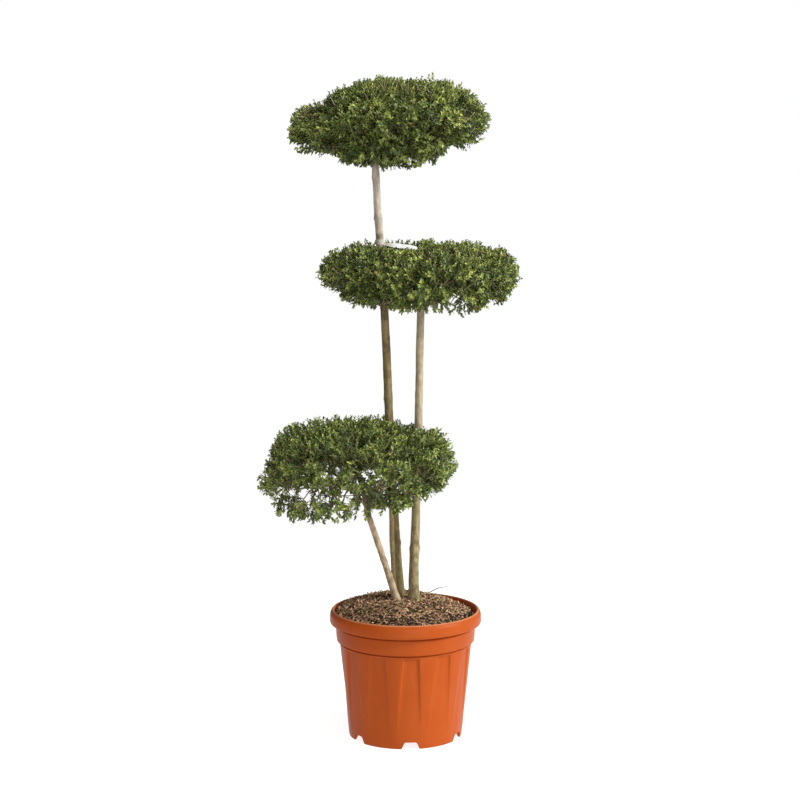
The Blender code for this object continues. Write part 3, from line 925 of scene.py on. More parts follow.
@dataclass
class Pot:
    """A 45 cm moulded container: rolled lip, plain collar, twelve pressed flutes and six notches.

    The pairs in its curves are steps outwards and upwards off the corner that each is named after.
    """

    height: float = 0.3805
    lip_radius: float = 0.2252
    lip_foot: float = 0.3405
    lip_wall: float = 0.0150
    collar_radius: float = 0.2072
    collar_foot: float = 0.2880
    foot_radius: float = 0.1685
    flare: float = 0.1
    wall: float = 0.0075
    flutes: int = 12
    flute_top: float = 0.2735
    flute_foot: float = 0.030
    flute_depth: float = 0.0052
    flute_centre: float = 5.0
    flute_half_top: float = 6.4
    flute_half_foot: float = 11.5
    flute_edge: float = 0.75
    foot_lag: float = 2.0
    island_radius: float = 0.100
    base_rise: float = 0.018
    base_plate: float = 0.006
    notches: int = 6
    notch_height: float = 0.021
    notch_top_half: float = 0.0175
    notch_foot_half: float = 0.0310
    notch_round: float = 0.004
    notch_reach: float = 0.048
    presses: tuple = (0.0, 0.22, 0.78, 1.0, 1.0, 1.0, 1.0, 1.0, 0.78, 0.22, 0.0, 0.0, 0.0, 0.0, 0.0, 0.0)
    smooth: float = 33.0
    inner_drop: float = 0.010
    inner_rise: float = 0.008
    island_edge: tuple = ((0.0, 0.0), (0.001, 0.0012))
    foot_inner: tuple = ((-0.0068, 0.0008), (-0.0055, 0.0))
    foot_outer: tuple = ((-0.0016, 0.0), (-0.0004, 0.0008))
    flute_levels: tuple = (0.25, 0.5, 0.75, 0.97, 1.0)
    flute_end: tuple = ((0.0012, 0.75), (0.0030, 0.15), (0.0042, 0.0))
    body_end: tuple = ((0.0, -0.0070), (-0.0012, -0.0060), (-0.0036, -0.0046), (-0.0036, 0.0004))
    collar_start: tuple = ((-0.0050, -0.0006), (-0.0026, 0.0008), (-0.0016, 0.0050))
    collar_end: tuple = (
        (-0.0004, -0.0300), (0.0, -0.0090), (-0.0012, -0.0078), (-0.0036, -0.0062), (-0.0036, 0.0006),
    )
    lip_start: tuple = ((-0.0046, -0.0002), (-0.0020, 0.0009), (-0.0007, 0.0032), (-0.0001, 0.0075))
    lip_crest: tuple = (
        (0.0, -0.0260), (-0.0005, -0.0150), (-0.0018, -0.0090), (-0.0042, -0.0044), (-0.0070, -0.0014),
        (-0.0098, 0.0), (-0.0122, -0.0010), (-0.0139, -0.0036),
    )

    def body(self, height: float) -> float:
        """The outer radius of the tapered body."""
        return self.foot_radius + self.flare * height

    def inner_lip(self, height: float) -> float:
        """The radius of the inner wall at the level of the lip."""
        low, high = self.lip_foot - self.inner_drop, self.height - self.inner_rise
        slant = (self.lip_radius - self.lip_wall - self.collar_radius + self.wall) / (high - low)
        return self.collar_radius - self.wall + slant * (height - low)

    def columns(self, half: float) -> list[float]:
        """The angles of one flute's columns.

        Args:
            half: the flute's half width in degrees.

        Returns:
            Degrees from the flute's middle.
        """
        edge, soft = self.flute_edge, self.flute_edge * 0.4
        lead = [-half - edge, -half - soft, -half + soft, -half + edge, -half * 0.45, 0.0, half * 0.45]
        trail = [half - edge, half - soft, half + soft, half + edge]
        lands = len(self.presses) - len(lead) - len(trail)
        land = 360 / self.flutes - 2 * (half + edge)
        return lead + trail + [half + edge + land * (step + 1) / (lands + 1) for step in range(lands)]

    def profile(self) -> list[tuple[float, float, float, float]]:
        """The wall from the island under the base, up the outside, over the lip and down the inside.

        Returns:
            Rings of radius, height, flute half width and flute depth.
        """
        top, foot = self.flute_half_top, self.flute_half_foot
        plain = curve(self.island_edge, self.island_radius, 0.0)
        plain += [(self.island_radius + 0.005, self.base_rise), (self.body(0) - 0.0125, self.base_rise)]
        plain += curve(self.foot_inner, self.body(0), 0.0)
        rings = [(radius, height, top, 0.0) for radius, height in plain]
        rings += [(radius, height, foot, 0.0) for radius, height in curve(self.foot_outer, self.body(0), 0.0)]
        rings += [(self.body(height), height, foot, 0.0) for height in (0.003, self.flute_foot)]
        for step in self.flute_levels:
            height = self.flute_foot + (self.flute_top - self.flute_foot) * step
            rings.append((self.body(height), height, foot + (top - foot) * step, self.flute_depth * step))
        for up, left in self.flute_end:
            rings.append((self.body(self.flute_top), self.flute_top + up, top, self.flute_depth * left))
        turned = curve(self.body_end, self.body(self.collar_foot), self.collar_foot)
        turned += curve(self.collar_start, self.collar_radius, self.collar_foot)
        turned += curve(self.collar_end, self.collar_radius, self.lip_foot)
        turned += curve(self.lip_start, self.lip_radius, self.lip_foot)
        turned += curve(self.lip_crest, self.lip_radius, self.height)
        turned += [(self.lip_radius - self.lip_wall, self.height - self.inner_rise)]
        turned += reversed(self.inside())
        return rings + [(radius, height, top, 0.0) for radius, height in turned]

    def inside(self) -> list[tuple[float, float]]:
        """The inner wall from the island under the base to the lip, as rings of radius and height."""
        floor = self.base_rise + self.base_plate
        return [
            (self.island_radius - 0.006, self.base_plate),
            (self.island_radius - 0.001, floor),
            (self.body(self.base_rise) - self.wall, floor),
            (self.body(self.collar_foot) - self.wall, self.collar_foot - 0.004),
            (self.collar_radius - self.wall - 0.0010, self.collar_foot + 0.012),
            (self.collar_radius - self.wall, self.lip_foot - self.inner_drop),
        ]

    def build(self) -> Thing:
        """Draws the wall up ring by ring, presses the flutes in and cuts the notches.

        Returns:
            The pot's mesh.
        """
        sides = self.flutes * len(self.presses)
        rings = self.profile()
        radius, height = rings[0][:2]
        work = Workpiece.circle("pot_shell", sides, radius, height)
        bpy.ops.mesh.edge_face_add()
        work.pick(numbers=range(sides))
        for wide, up, _, _ in rings[1:]:
            work.draw_on((0.0, 0.0, up - height), wide / radius, (0.0, 0.0, up))
            radius, height = wide, up
        bpy.ops.mesh.edge_face_add()
        for level, ring in enumerate(rings):
            self.flute_ring(work, level, ring)
        bpy.ops.mesh.select_all(action="SELECT")
        spin(180.0 + self.flute_centre)
        made = work.close(self.smooth)
        self.cut_notches(made)
        return made

    def flute_ring(self, work: Workpiece, level: int, ring: tuple[float, float, float, float]) -> None:
        """Turns one ring's columns to their places and presses the flutes into it.

        Args:
            work: the pot.
            level: the ring's number.
            ring: its radius, height, flute half width and flute depth.
        """
        radius, height, half, depth = ring
        groups = len(self.presses)
        first = level * self.flutes * groups
        lag = self.foot_lag * (half - self.flute_half_top) / (self.flute_half_foot - self.flute_half_top)
        for group, wanted in enumerate(self.columns(half)):
            work.pick(numbers=(first + flute * groups + group for flute in range(self.flutes)))
            spin(wanted - lag - 360 / self.flutes / groups * group, centre=(0.0, 0.0, height))
            if depth * self.presses[group]:
                shrink = 1 - depth * self.presses[group] / radius
                resize(shrink, shrink, (0.0, 0.0, height))

    def cut_notches(self, made: Thing) -> None:
        """Cuts a wide low notch through the foot of the wall under every second flute.

        Args:
            made: the pot's mesh.
        """
        rise = self.notch_height + 0.010
        middle = (0.0, -self.foot_radius + 0.004, self.notch_height - rise / 2)
        work = Workpiece.cube("notch_cutter", (2 * self.notch_foot_half, self.notch_reach, rise), middle)
        work.pick(lambda place: place.z > 0)
        resize(self.notch_top_half / self.notch_foot_half, 1.0)
        for side in (1, -1):
            inner = 0.0 if side > 0 else self.notch_top_half - 0.001
            work.pick(lambda place, sign=side, least=inner: place.z > 0 and place.x * sign > least)
            bpy.ops.mesh.bevel(offset=self.notch_round, segments=4)
        bpy.ops.mesh.select_all(action="SELECT")
        spin(self.flute_centre)
        for _ in range(self.notches - 1):
            bpy.ops.mesh.duplicate_move()
            spin(360 / self.notches)
        cutter = work.close()
        apply_modifier(made, "BOOLEAN", object=cutter, operation="DIFFERENCE", solver="EXACT")
        bpy.data.objects.remove(cutter)
        bpy.ops.object.select_all(action="DESELECT")
        made.select_set(True)
        bpy.ops.object.shade_smooth_by_angle(angle=math.radians(self.smooth))


# ---------------- mulch


@dataclass(frozen=True)
class ChipTone:
    """One tone of mulch chips, how many there are of it, how much they lie in patches and how much commoner
    they grow towards +X; this lean is painted shade on the mulch's right side.
    """

    finish: Flake
    count: int
    length: tuple[float, float]
    lift: float
    patchy: float = 0.26
    # painted shade: above 0 the dark and mossy chips gather towards +X, below 0 the paler ones thin out there
    lean: float = -0.16


@dataclass
class Mulch:
    """Compost heaped to a small flat round the stems, under a layer of bark chips and a few strands."""

    pot: Pot
    flat: float = 0.405
    flat_radius: float = 0.070
    flat_centre: tuple = (0.0, 0.022)
    edge: float = 0.3715
    tilt: tuple = (-0.040, 0.048)
    folds: tuple = (0.045, 0.062)
    strays: tuple = (
        ((0.072, 0.139, 0.396), (0.098, 0.145, 0.408), (0.128, 0.150, 0.413)),
        ((0.004, 0.120, 0.402), (0.012, 0.123, 0.412), (0.013, 0.126, 0.424)),
    )
    swell: float = 1.7
    sides: int = 96
    heap: tuple = (0.0, 0.04, 0.09, 0.15, 0.22, 0.30, 0.40, 0.50, 0.62, 0.75, 0.88, 1.0)
    insets: tuple = (0.030, 0.025)
    island_gaps: tuple = (0.0006, 0.0007)
    crumb: float = 0.012
    crumb_depth: float = 0.004
    wall_gap: float = 0.0012
    cover: float = 0.0035
    seat: float = 0.0003
    strands: int = 110
    strand_radii: tuple = (0.0006, 0.0006, 0.0005, 0.0004, 0.0003)
    stray_radii: tuple = (0.0018, 0.0015, 0.0009)
    patch: float = 0.075
    stem_room: float = 1.18
    chip_fill: float = 0.55
    chip_shape: tuple = (0.22, 0.46)
    chip_width: Band = (0.0016, 0.0050)
    chip_thick: Band = (0.0007, 0.0017)
    chip_pitch: float = 0.34
    chip_roll: float = 0.45
    strand_length: Band = (0.014, 0.034)
    strand_lift: float = 0.003
    strand_bend: float = 0.18
    chip_margin: float = 0.006
    strand_margin: float = 0.030
    seed: int = 5
    tones: tuple = (
        ChipTone(Flake("mulch_straw", (0.60, 0.405, 0.228)), 1200, (0.006, 0.020), 0.0042),
        ChipTone(Flake("mulch_pink", (0.49, 0.278, 0.172)), 1800, (0.006, 0.021), 0.0036),
        ChipTone(Flake("mulch_tan", (0.37, 0.214, 0.106)), 2100, (0.006, 0.020), 0.0030),
        ChipTone(Flake("mulch_brown", (0.17, 0.087, 0.049)), 2600, (0.006, 0.018), 0.0020),
        ChipTone(Flake("mulch_dark", (0.045, 0.029, 0.019)), 2900, (0.005, 0.014), 0.0014, 0.40, 0.26),
        ChipTone(Flake("mulch_moss", (0.110, 0.125, 0.040)), 2400, (0.003, 0.008), 0.0032, 0.65, 0.25),
    )

    def edge_height(self, x: Array, y: Array) -> Array:
        """The level at which the compost meets the wall, in the direction of these places."""
        far = np.maximum(np.hypot(x, y), TINY)
        fall = np.where(x < 0, self.folds[0], self.folds[1]) * np.abs(x)
        return self.edge + (self.tilt[0] * x + self.tilt[1] * y - fall) / far * self.pot.collar_radius

    def surface(self, x: Array, y: Array) -> Array:
        """The compost's height.

        Args:
            x: places across.
            y: places from front to back.

        Returns:
            Heights.
        """
        edge = self.edge_height(x, y)
        rim = self.pot.inner_lip(self.edge)
        dx, dy = x - self.flat_centre[0], y - self.flat_centre[1]
        inner = np.hypot(dx, dy)
        share = np.clip((rim - np.hypot(x, y)) / (rim - self.flat_radius), 0, 1)
        share = np.where(inner < self.flat_radius, 1.0, share)
        return edge + (self.flat - edge) * (1 - (1 - share) ** self.swell)

    def build_compost(self) -> Thing:
        """Draws the root ball up the inside of the pot and heaps its top.

        Returns:
            The compost's mesh.
        """
        inside = self.pot.inside()
        gaps = self.island_gaps + (self.wall_gap,) * (len(inside) - len(self.island_gaps))
        walls = [(radius - gap, height + self.seat) for (radius, height), gap in zip(inside, gaps)]
        radius, height = walls[0]
        work = Workpiece.circle("compost", self.sides, radius, height)
        bpy.ops.mesh.edge_face_add()
        rim = self.pot.inner_lip(self.edge) - self.wall_gap
        rings, leans = walls[1:], []
        for share in self.heap:
            fall = (1 - share) ** self.swell
            wide = rim + (self.flat_radius - rim) * share
            up = self.edge * fall + self.flat * (1 - fall) - self.cover
            rings.append((wide, up))
            leans.append((share, wide, up, fall))
        for wide, up in rings:
            work.draw_on((0.0, 0.0, up - height), wide / radius, (0.0, 0.0, up), closed=True)
            radius, height = wide, up
        for level, lean in enumerate(leans, len(walls)):
            self.lean_ring(work, range(level * self.sides, (level + 1) * self.sides), *lean)
        last = len(walls) + len(leans)
        work.pick(numbers=range((last - 1) * self.sides, last * self.sides))
        for thickness in self.insets:
            bpy.ops.mesh.inset(thickness=thickness)
        made = work.close(60.0)
        self.crumble(made, rim - 0.002)
        return made

    def crumble(self, made: Thing, reach: float) -> None:
        """Presses crumbs into the top of the heap.

        Args:
            made: the compost's mesh.
            reach: how far out from the middle they go.
        """
        low = self.edge - self.crumb
        group = made.vertex_groups.new(name="top")
        lumpy = [v.index for v in made.data.vertices if v.co.z > low and v.co.xy.length < reach]
        group.add(lumpy, 1.0, "REPLACE")
        depth = self.crumb_depth
        emboss(made, "CLOUDS", self.crumb, texture_coords="LOCAL", strength=depth, vertex_group="top")
        made.vertex_groups.clear()

    def lean_ring(
        self, work: Workpiece, numbers: range, share: float, wide: float, up: float, fall: float
    ) -> None:
        """Leans and folds one ring of the heap: the mulch lies higher at the back and falls to both sides.

        Args:
            work: the compost.
            numbers: the ring's vertices.
            share: how far it is from the wall to the flat.
            wide: its radius.
            up: its level.
            fall: how much of the lean is left there.
        """
        work.pick(numbers=numbers)
        steep = fall * self.pot.collar_radius / wide
        for axis, slope in (("X", self.tilt[1]), ("Y", -self.tilt[0])):
            angle = -math.atan(slope * steep)
            bpy.ops.transform.rotate(value=angle, orient_axis=axis, center_override=(0.0, 0.0, up))
        for side, slope in zip((-1, 1), self.folds):
            work.pick(lambda place, sign=side: place.x * sign > 0.001, numbers)
            angle = -math.atan(slope * steep) * side
            bpy.ops.transform.rotate(value=angle, orient_axis="Y", center_override=(0.0, 0.0, up))
        work.pick(numbers=numbers)
        shift((self.flat_centre[0] * share, self.flat_centre[1] * share, 0.0))

    def build_chips(self) -> list[Thing]:
        """Strews the chips, one joined mesh for each tone."""
        rng = np.random.default_rng(self.seed)
        return [self.strew(tone, rng) for tone in self.tones]

    def scatter(self, count: int, rng: Dice, margin: float) -> Array:
        """Places chips evenly over the compost, clear of the wall and of the stems.

        Args:
            count: how many.
            rng: the random numbers.
            margin: how far inside the wall.

        Returns:
            Places, n by 3.
        """
        rim = self.pot.inner_lip(self.edge) - margin
        far = rim * np.sqrt(rng.random(count))
        turn = rng.random(count) * math.tau
        x, y = far * np.sin(turn), -far * np.cos(turn)
        keep = np.ones(count, bool)
        for stem in STEMS:
            foot = stem.guides[0]
            keep &= np.hypot(x - foot[0], y - foot[1]) > stem.radii[0] * self.stem_room
        x, y = x[keep], y[keep]
        return np.stack([x, y, self.surface(x, y)], axis=1)

    def strew(self, tone: ChipTone, rng: Dice) -> Thing:
        """Makes the chips of one tone: flat splinters with uneven ends.

        Args:
            tone: the tone.
            rng: the random numbers.

        Returns:
            The joined mesh.
        """
        spots = self.scatter(tone.count, rng, self.chip_margin)
        patches = Lumps(rng, self.patch)
        rim = self.pot.inner_lip(self.edge)
        # the lean term is painted shade, darkening the chip mix towards +X
        share = self.chip_fill + tone.patchy * patches.at(spots) + tone.lean * spots[:, 0] / rim
        spots = spots[rng.random(len(spots)) < share]
        count = len(spots)
        low, high = tone.length
        length = low + (high - low) * rng.random(count) ** 1.8
        width = np.clip(length * rng.uniform(*self.chip_shape, count), *self.chip_width)
        thick = rng.uniform(*self.chip_thick, count)
        yaw = rng.random(count) * math.tau
        pitch = rng.normal(0.0, self.chip_pitch, count)
        roll = rng.normal(0.0, self.chip_roll, count)
        along = np.stack([np.cos(yaw) * np.cos(pitch), np.sin(yaw) * np.cos(pitch), np.sin(pitch)], 1)
        flat = np.stack([-np.sin(yaw), np.cos(yaw), np.zeros(count)], 1)
        over = np.cross(along, flat)
        across = flat * np.cos(roll)[:, None] + over * np.sin(roll)[:, None]
        normal = np.cross(along, across)
        spots[:, 2] += tone.lift * rng.random(count) + 0.3 * length * np.abs(np.sin(pitch))
        corners = []
        for end, side, face in product((-1, 1), repeat=3):
            reach = end * length / 2 * rng.uniform(0.72, 1.0, count)
            breadth = side * width / 2 * rng.uniform(0.45, 1.0, count)
            depth = face * thick / 2 * rng.uniform(0.6, 1.2, count)
            corner = spots + along * reach[:, None] + across * breadth[:, None]
            corners.append(corner + normal * depth[:, None])
        points = np.stack(corners, 1)
        self.hold_in(points)
        box = np.array([(0, 1, 3, 2), (4, 6, 7, 5), (0, 4, 5, 1), (2, 3, 7, 6), (0, 2, 6, 4), (1, 5, 7, 3)])
        faces = (np.arange(count)[:, None, None] * 8 + box[None]).reshape(-1, 4)
        return mesh_from_arrays(tone.finish.name, points.reshape(-1, 3), faces)

    def hold_in(self, points: Array) -> None:
        """Draws whatever would reach into the pot's wall back inside it.

        Args:
            points: places, whose last axis is x, y and z; they are changed.
        """
        far = np.hypot(points[..., 0], points[..., 1])
        rim = self.pot.collar_radius - self.pot.wall - 0.001
        start = self.pot.lip_foot - self.pot.inner_drop
        slant = (self.pot.inner_lip(self.edge) - rim) / (self.edge - start)
        limit = rim + slant * (points[..., 2] - start) - 0.0008
        share = np.minimum(1.0, limit / np.maximum(far, TINY))
        points[..., 0] *= share
        points[..., 1] *= share

    def build_strands(self) -> Thing:
        """Lays thin bent strands on the chips, a few of them sticking up.

        Returns:
            The joined mesh.
        """
        rng = np.random.default_rng(self.seed + 1)
        spots = self.scatter(self.strands, rng, self.strand_margin)
        count = len(spots)
        length = rng.uniform(*self.strand_length, count)
        yaw = rng.random(count) * math.tau
        upright = rng.random(count) < 0.3
        steep, low = rng.uniform(0.2, 0.7, count), rng.uniform(-0.02, 0.12, count)
        rise = np.where(upright, steep, low)
        along = np.stack([np.cos(yaw) * np.cos(rise), np.sin(yaw) * np.cos(rise), np.sin(rise)], 1)
        side = np.stack([-np.sin(yaw), np.cos(yaw), np.zeros(count)], 1)
        side = side * rng.normal(0, self.strand_bend, count)[:, None]
        steps = np.linspace(0.0, 1.0, 5)
        runs = spots[:, None] + along[:, None] * (length[:, None] * steps)[..., None]
        runs = runs + side[:, None] * (length[:, None] * steps**2)[..., None]
        runs[..., 2] += self.strand_lift
        self.hold_in(runs)
        thin = tubes(runs, np.tile(self.strand_radii, (count, 1)))
        strays = tubes(np.array(self.strays), np.tile(self.stray_radii, (len(self.strays), 1)), 5)
        return mesh_from_arrays("mulch_strands", *join([thin, strays]))

    def dress(self) -> None:
        """Builds and dresses the mulch."""
        crumb = Flake("compost_crumb", (0.075, 0.048, 0.030))
        base = present(self.build_compost(), crumb.mix(), "bark_mulch", "soil")
        base.data.shade_smooth()
        for tone, chips in zip(self.tones, self.build_chips()):
            present(chips, tone.finish.mix(), "bark_mulch")
        present(self.build_strands(), Flake("mulch_strand", (0.11, 0.070, 0.045)).mix(), "bark_mulch")


def tubes(runs: Array, radii: Array, sides: int = 3) -> Mesh:
    """Skins many bent runs as closed thin tubes.

    Args:
        runs: places, n runs by p points by 3.
        radii: radius at each point.
        sides: corners round a tube.

    Returns:
        Points and triangles.
    """
    count, length = runs.shape[:2]
    ahead = np.empty_like(runs)
    ahead[:, 1:-1] = runs[:, 2:] - runs[:, :-2]
    ahead[:, 0] = runs[:, 1] - runs[:, 0]
    ahead[:, -1] = runs[:, -1] - runs[:, -2]
    ahead = unit(ahead)
    across = unit(np.cross(ahead, np.array([0.31, 0.17, 0.93])))
    over = np.cross(ahead, across)
    turns = np.arange(sides) * math.tau / sides
    spokes = across[:, :, None] * np.cos(turns)[:, None] + over[:, :, None] * np.sin(turns)[:, None]
    points = runs[:, :, None] + spokes * radii[:, :, None, None]
    number = np.arange(count * length * sides).reshape(count, length, sides)
    a, b = number[:, :-1], np.roll(number, -1, axis=2)[:, :-1]
    c, d = np.roll(number, -1, axis=2)[:, 1:], number[:, 1:]
    faces = [np.stack([a, b, c], -1).reshape(-1, 3), np.stack([a, c, d], -1).reshape(-1, 3)]
    for corner in range(1, sides - 1):
        foot, tip = number[:, 0], number[:, -1]
        faces.append(np.stack([foot[:, 0], foot[:, corner + 1], foot[:, corner]], -1))
        faces.append(np.stack([tip[:, 0], tip[:, corner], tip[:, corner + 1]], -1))
    return points.reshape(-1, 3), np.concatenate(faces)


def unit(rows: Array) -> Array:
    """Directions of unit length."""
    return rows / np.maximum(np.linalg.norm(rows, axis=-1, keepdims=True), 1e-9)


# ---------------- clouds


class Tone(Enum):
    """The tones that sprays of leaves come in."""

    DEEP = LeafSkin("leaf_deep_green", (0.075, 0.106, 0.028), 0.30, "DEEP")
    FULL = LeafSkin("leaf_full_green", (0.140, 0.185, 0.039), 0.32, "FULL")
    FRESH = LeafSkin("leaf_fresh_green", (0.250, 0.300, 0.064), 0.35, "FULL")
    LIME = LeafSkin("leaf_lime_tip", (0.365, 0.420, 0.108), 0.42, "FRESH")
    BRONZE = LeafSkin("leaf_bronze", (0.250, 0.195, 0.090), 0.42, "FULL")


class Wood(Enum):
    """The kinds of twig inside a cloud."""

    OLD = Bark("bark_old_twig", (0.24, 0.17, 0.11), (0.11, 0.075, 0.050), (0.16, 0.14, 0.06), 0.4)
    GREEN = Bark("bark_green_shoot", (0.50, 0.45, 0.22), (0.30, 0.27, 0.12), (0.30, 0.26, 0.10), 0.3)
    CUT = Bark("bark_cut_stub", (0.44, 0.35, 0.22), (0.25, 0.18, 0.11), (0.24, 0.20, 0.09), 0.3)


class Lumps:
    """Smooth random lumps in space, round 0 with a spread of 1."""

    def __init__(self, rng: Dice, size: float, waves: int = 24) -> None:
        """Draws the waves that the lumps add up from; the size is roughly the distance from lump to lump."""
        self.waves = unit(rng.normal(size=(waves, 3))) * (math.tau / size) * rng.uniform(0.6, 1.5, (waves, 1))
        self.phases = rng.uniform(0.0, math.tau, waves)

    def at(self, points: Array) -> Array:
        """The height of the lumps at some places."""
        return np.cos(points @ self.waves.T + self.phases).sum(axis=-1) * math.sqrt(2 / len(self.phases))


@dataclass(frozen=True)
class Window:
    """A loose place in a cloud where the sky shows through: its middle, half size and openness."""

    x: float
    z: float
    half_x: float
    half_z: float
    openness: float


@dataclass(frozen=True)
class Trim:
    """A place across a cloud where one face was cut deeper, or left fuller where the cut is below 0."""

    x: float
    half: float
    crown: float = 0.0
    belly: float = 0.0


@dataclass(frozen=True)
class Cloud:
    """A clipped mass: its widest level, how far it reaches each way and how full its faces are."""

    name: str
    centre: tuple
    reach: tuple
    rise: float
    drop: float
    crown: tuple
    belly: tuple
    slope: float
    lean: tuple
    foot: tuple
    foot_radius: float
    seed: int
    sprays: int
    sprigs: int
    stubs: int
    loose: tuple
    shares: dict
    windows: tuple = ()
    trims: tuple = ()
    rooms: tuple = ()
    targets: tuple = (28, 21, 20)
    boughs: int = 8
    leaf: float = 0.0126
    shell: float = 0.034
    inset: tuple = (0.006, 0.006)
    lump: float = 0.006
    sprig: float = 0.017
    proud: float = 0.012
    # how much fresher the crown's skin is than the belly: partly new growth, partly painted light
    crown_freshness_and_light: float = 0.8

    def faces(self, x: Array, y: Array) -> tuple[Array, Array]:
        """The heights of the lower and upper clipped faces, both at the middle level outside them.

        Args:
            x: places across.
            y: places from front to back.

        Returns:
            Lower and upper heights.
        """
        share = np.minimum(1.0, self.out(x, y))
        along = x - self.centre[0]
        middle = self.centre[2] + self.slope * along
        rise = self.rise * (1 + self.lean[0] * along / self.reach[0])
        drop = self.drop * (1 + self.lean[1] * along / self.reach[0])
        top = middle + rise * (1 - share ** self.crown[0]) ** (1 / self.crown[1])
        bottom = middle - drop * (1 - share ** self.belly[0]) ** (1 / self.belly[1])
        return bottom, top

    def out(self, x: Array, y: Array) -> Array:
        """How far out from the middle places are, 1 at the widest outline."""
        return np.hypot((x - self.centre[0]) / self.reach[0], (y - self.centre[1]) / self.reach[1])

    def outside_rooms(self, points: Array) -> Array:
        """Says which points leave the places round the label free.

        Args:
            points: places.

        Returns:
            A mask.
        """
        free = np.ones(points.shape[:-1], bool)
        for low, high in self.rooms:
            free &= ~((points > np.array(low)) & (points < np.array(high))).all(axis=-1)
        return free

    def holds(self, points: Array) -> Array:
        """Says which points stay within the reach that leaves may have."""
        return self.depth(points) > -self.proud + np.minimum(self.cut(points), 0.0)

    def depth(self, points: Array) -> Array:
        """Roughly how deep points lie under the clipped skin; below 0 they stand proud of it."""
        bottom, top = self.faces(points[..., 0], points[..., 1])
        beside = (1 - self.out(points[..., 0], points[..., 1])) * min(self.reach)
        return np.minimum(np.minimum(top - points[..., 2], points[..., 2] - bottom) * 0.9, beside * 1.1)

    def height_share(self, points: Array) -> Array:
        """How high points lie between the lower face, 0, and the upper, 1."""
        bottom, top = self.faces(points[..., 0], points[..., 1])
        return np.clip((points[..., 2] - bottom) / np.maximum(top - bottom, TINY), 0.0, 1.0)

    def cut(self, points: Array) -> Array:
        """How much deeper than the plain faces the leaves were clipped.

        Args:
            points: places.

        Returns:
            Depths.
        """
        high = np.clip(self.height_share(points) * 2.5 - 0.75, 0.0, 1.0)
        deep = self.inset[1] + (self.inset[0] - self.inset[1]) * high
        for trim in self.trims:
            near = np.exp(-(((points[..., 0] - trim.x) / trim.half) ** 2))
            deep += near * (trim.belly + (trim.crown - trim.belly) * high)
        return deep

    def outward(self, points: Array) -> Array:
        """The direction out of the cloud at each place.

        Args:
            points: places.

        Returns:
            Unit directions.
        """
        x, y = points[..., 0] - self.centre[0], points[..., 1] - self.centre[1]
        z = points[..., 2] - self.centre[2] - self.slope * x
        high = np.where(z > 0, self.rise, self.drop)
        across = self.out(points[..., 0], points[..., 1]) ** 2
        steep = np.abs(z / high) ** 1.5
        aim = [x / self.reach[0] * across, y / self.reach[1] * across, np.sign(z) * steep]
        return unit(np.stack(aim, -1) + TINY)

    def openness(self, points: Array) -> Array:
        """How open the cloud is: little in the crown, more in the belly, most in the windows.

        Args:
            points: places.

        Returns:
            The level under which a gap opens.
        """
        crown, belly = self.loose
        level = crown + (belly - crown) * (1 - self.height_share(points)) ** 1.3
        for window in self.windows:
            across = (points[..., 0] - window.x) / window.half_x
            up = (points[..., 2] - window.z) / window.half_z
            inside = np.clip(1.6 - 1.3 * (across**2 + up**2), 0, 1)
            level = np.maximum(level, level + (window.openness - level) * inside)
        return level


class Limbs:
    """Where the bare stems are, for whatever grows round them."""

    def __init__(self) -> None:
        """Reads each stem's middle and radius by height."""
        self.tables = [stem.table() for stem in STEMS]

    def clear(self, points: Array, spare: float) -> Array:
        """Says which points keep clear of every stem.

        Args:
            points: places, n by 3.
            spare: how far off the bark.

        Returns:
            A mask.
        """
        free = np.ones(points.shape[:-1], bool)
        for rows in self.tables:
            z = points[..., 2]
            x, y, radius = look_up(rows, z)
            beside = np.hypot(points[..., 0] - x, points[..., 1] - y) - radius
            beyond = (z > rows[-1, 0] + spare) | (z < rows[0, 0] - spare)
            free &= (beside > spare) | beyond
        return free


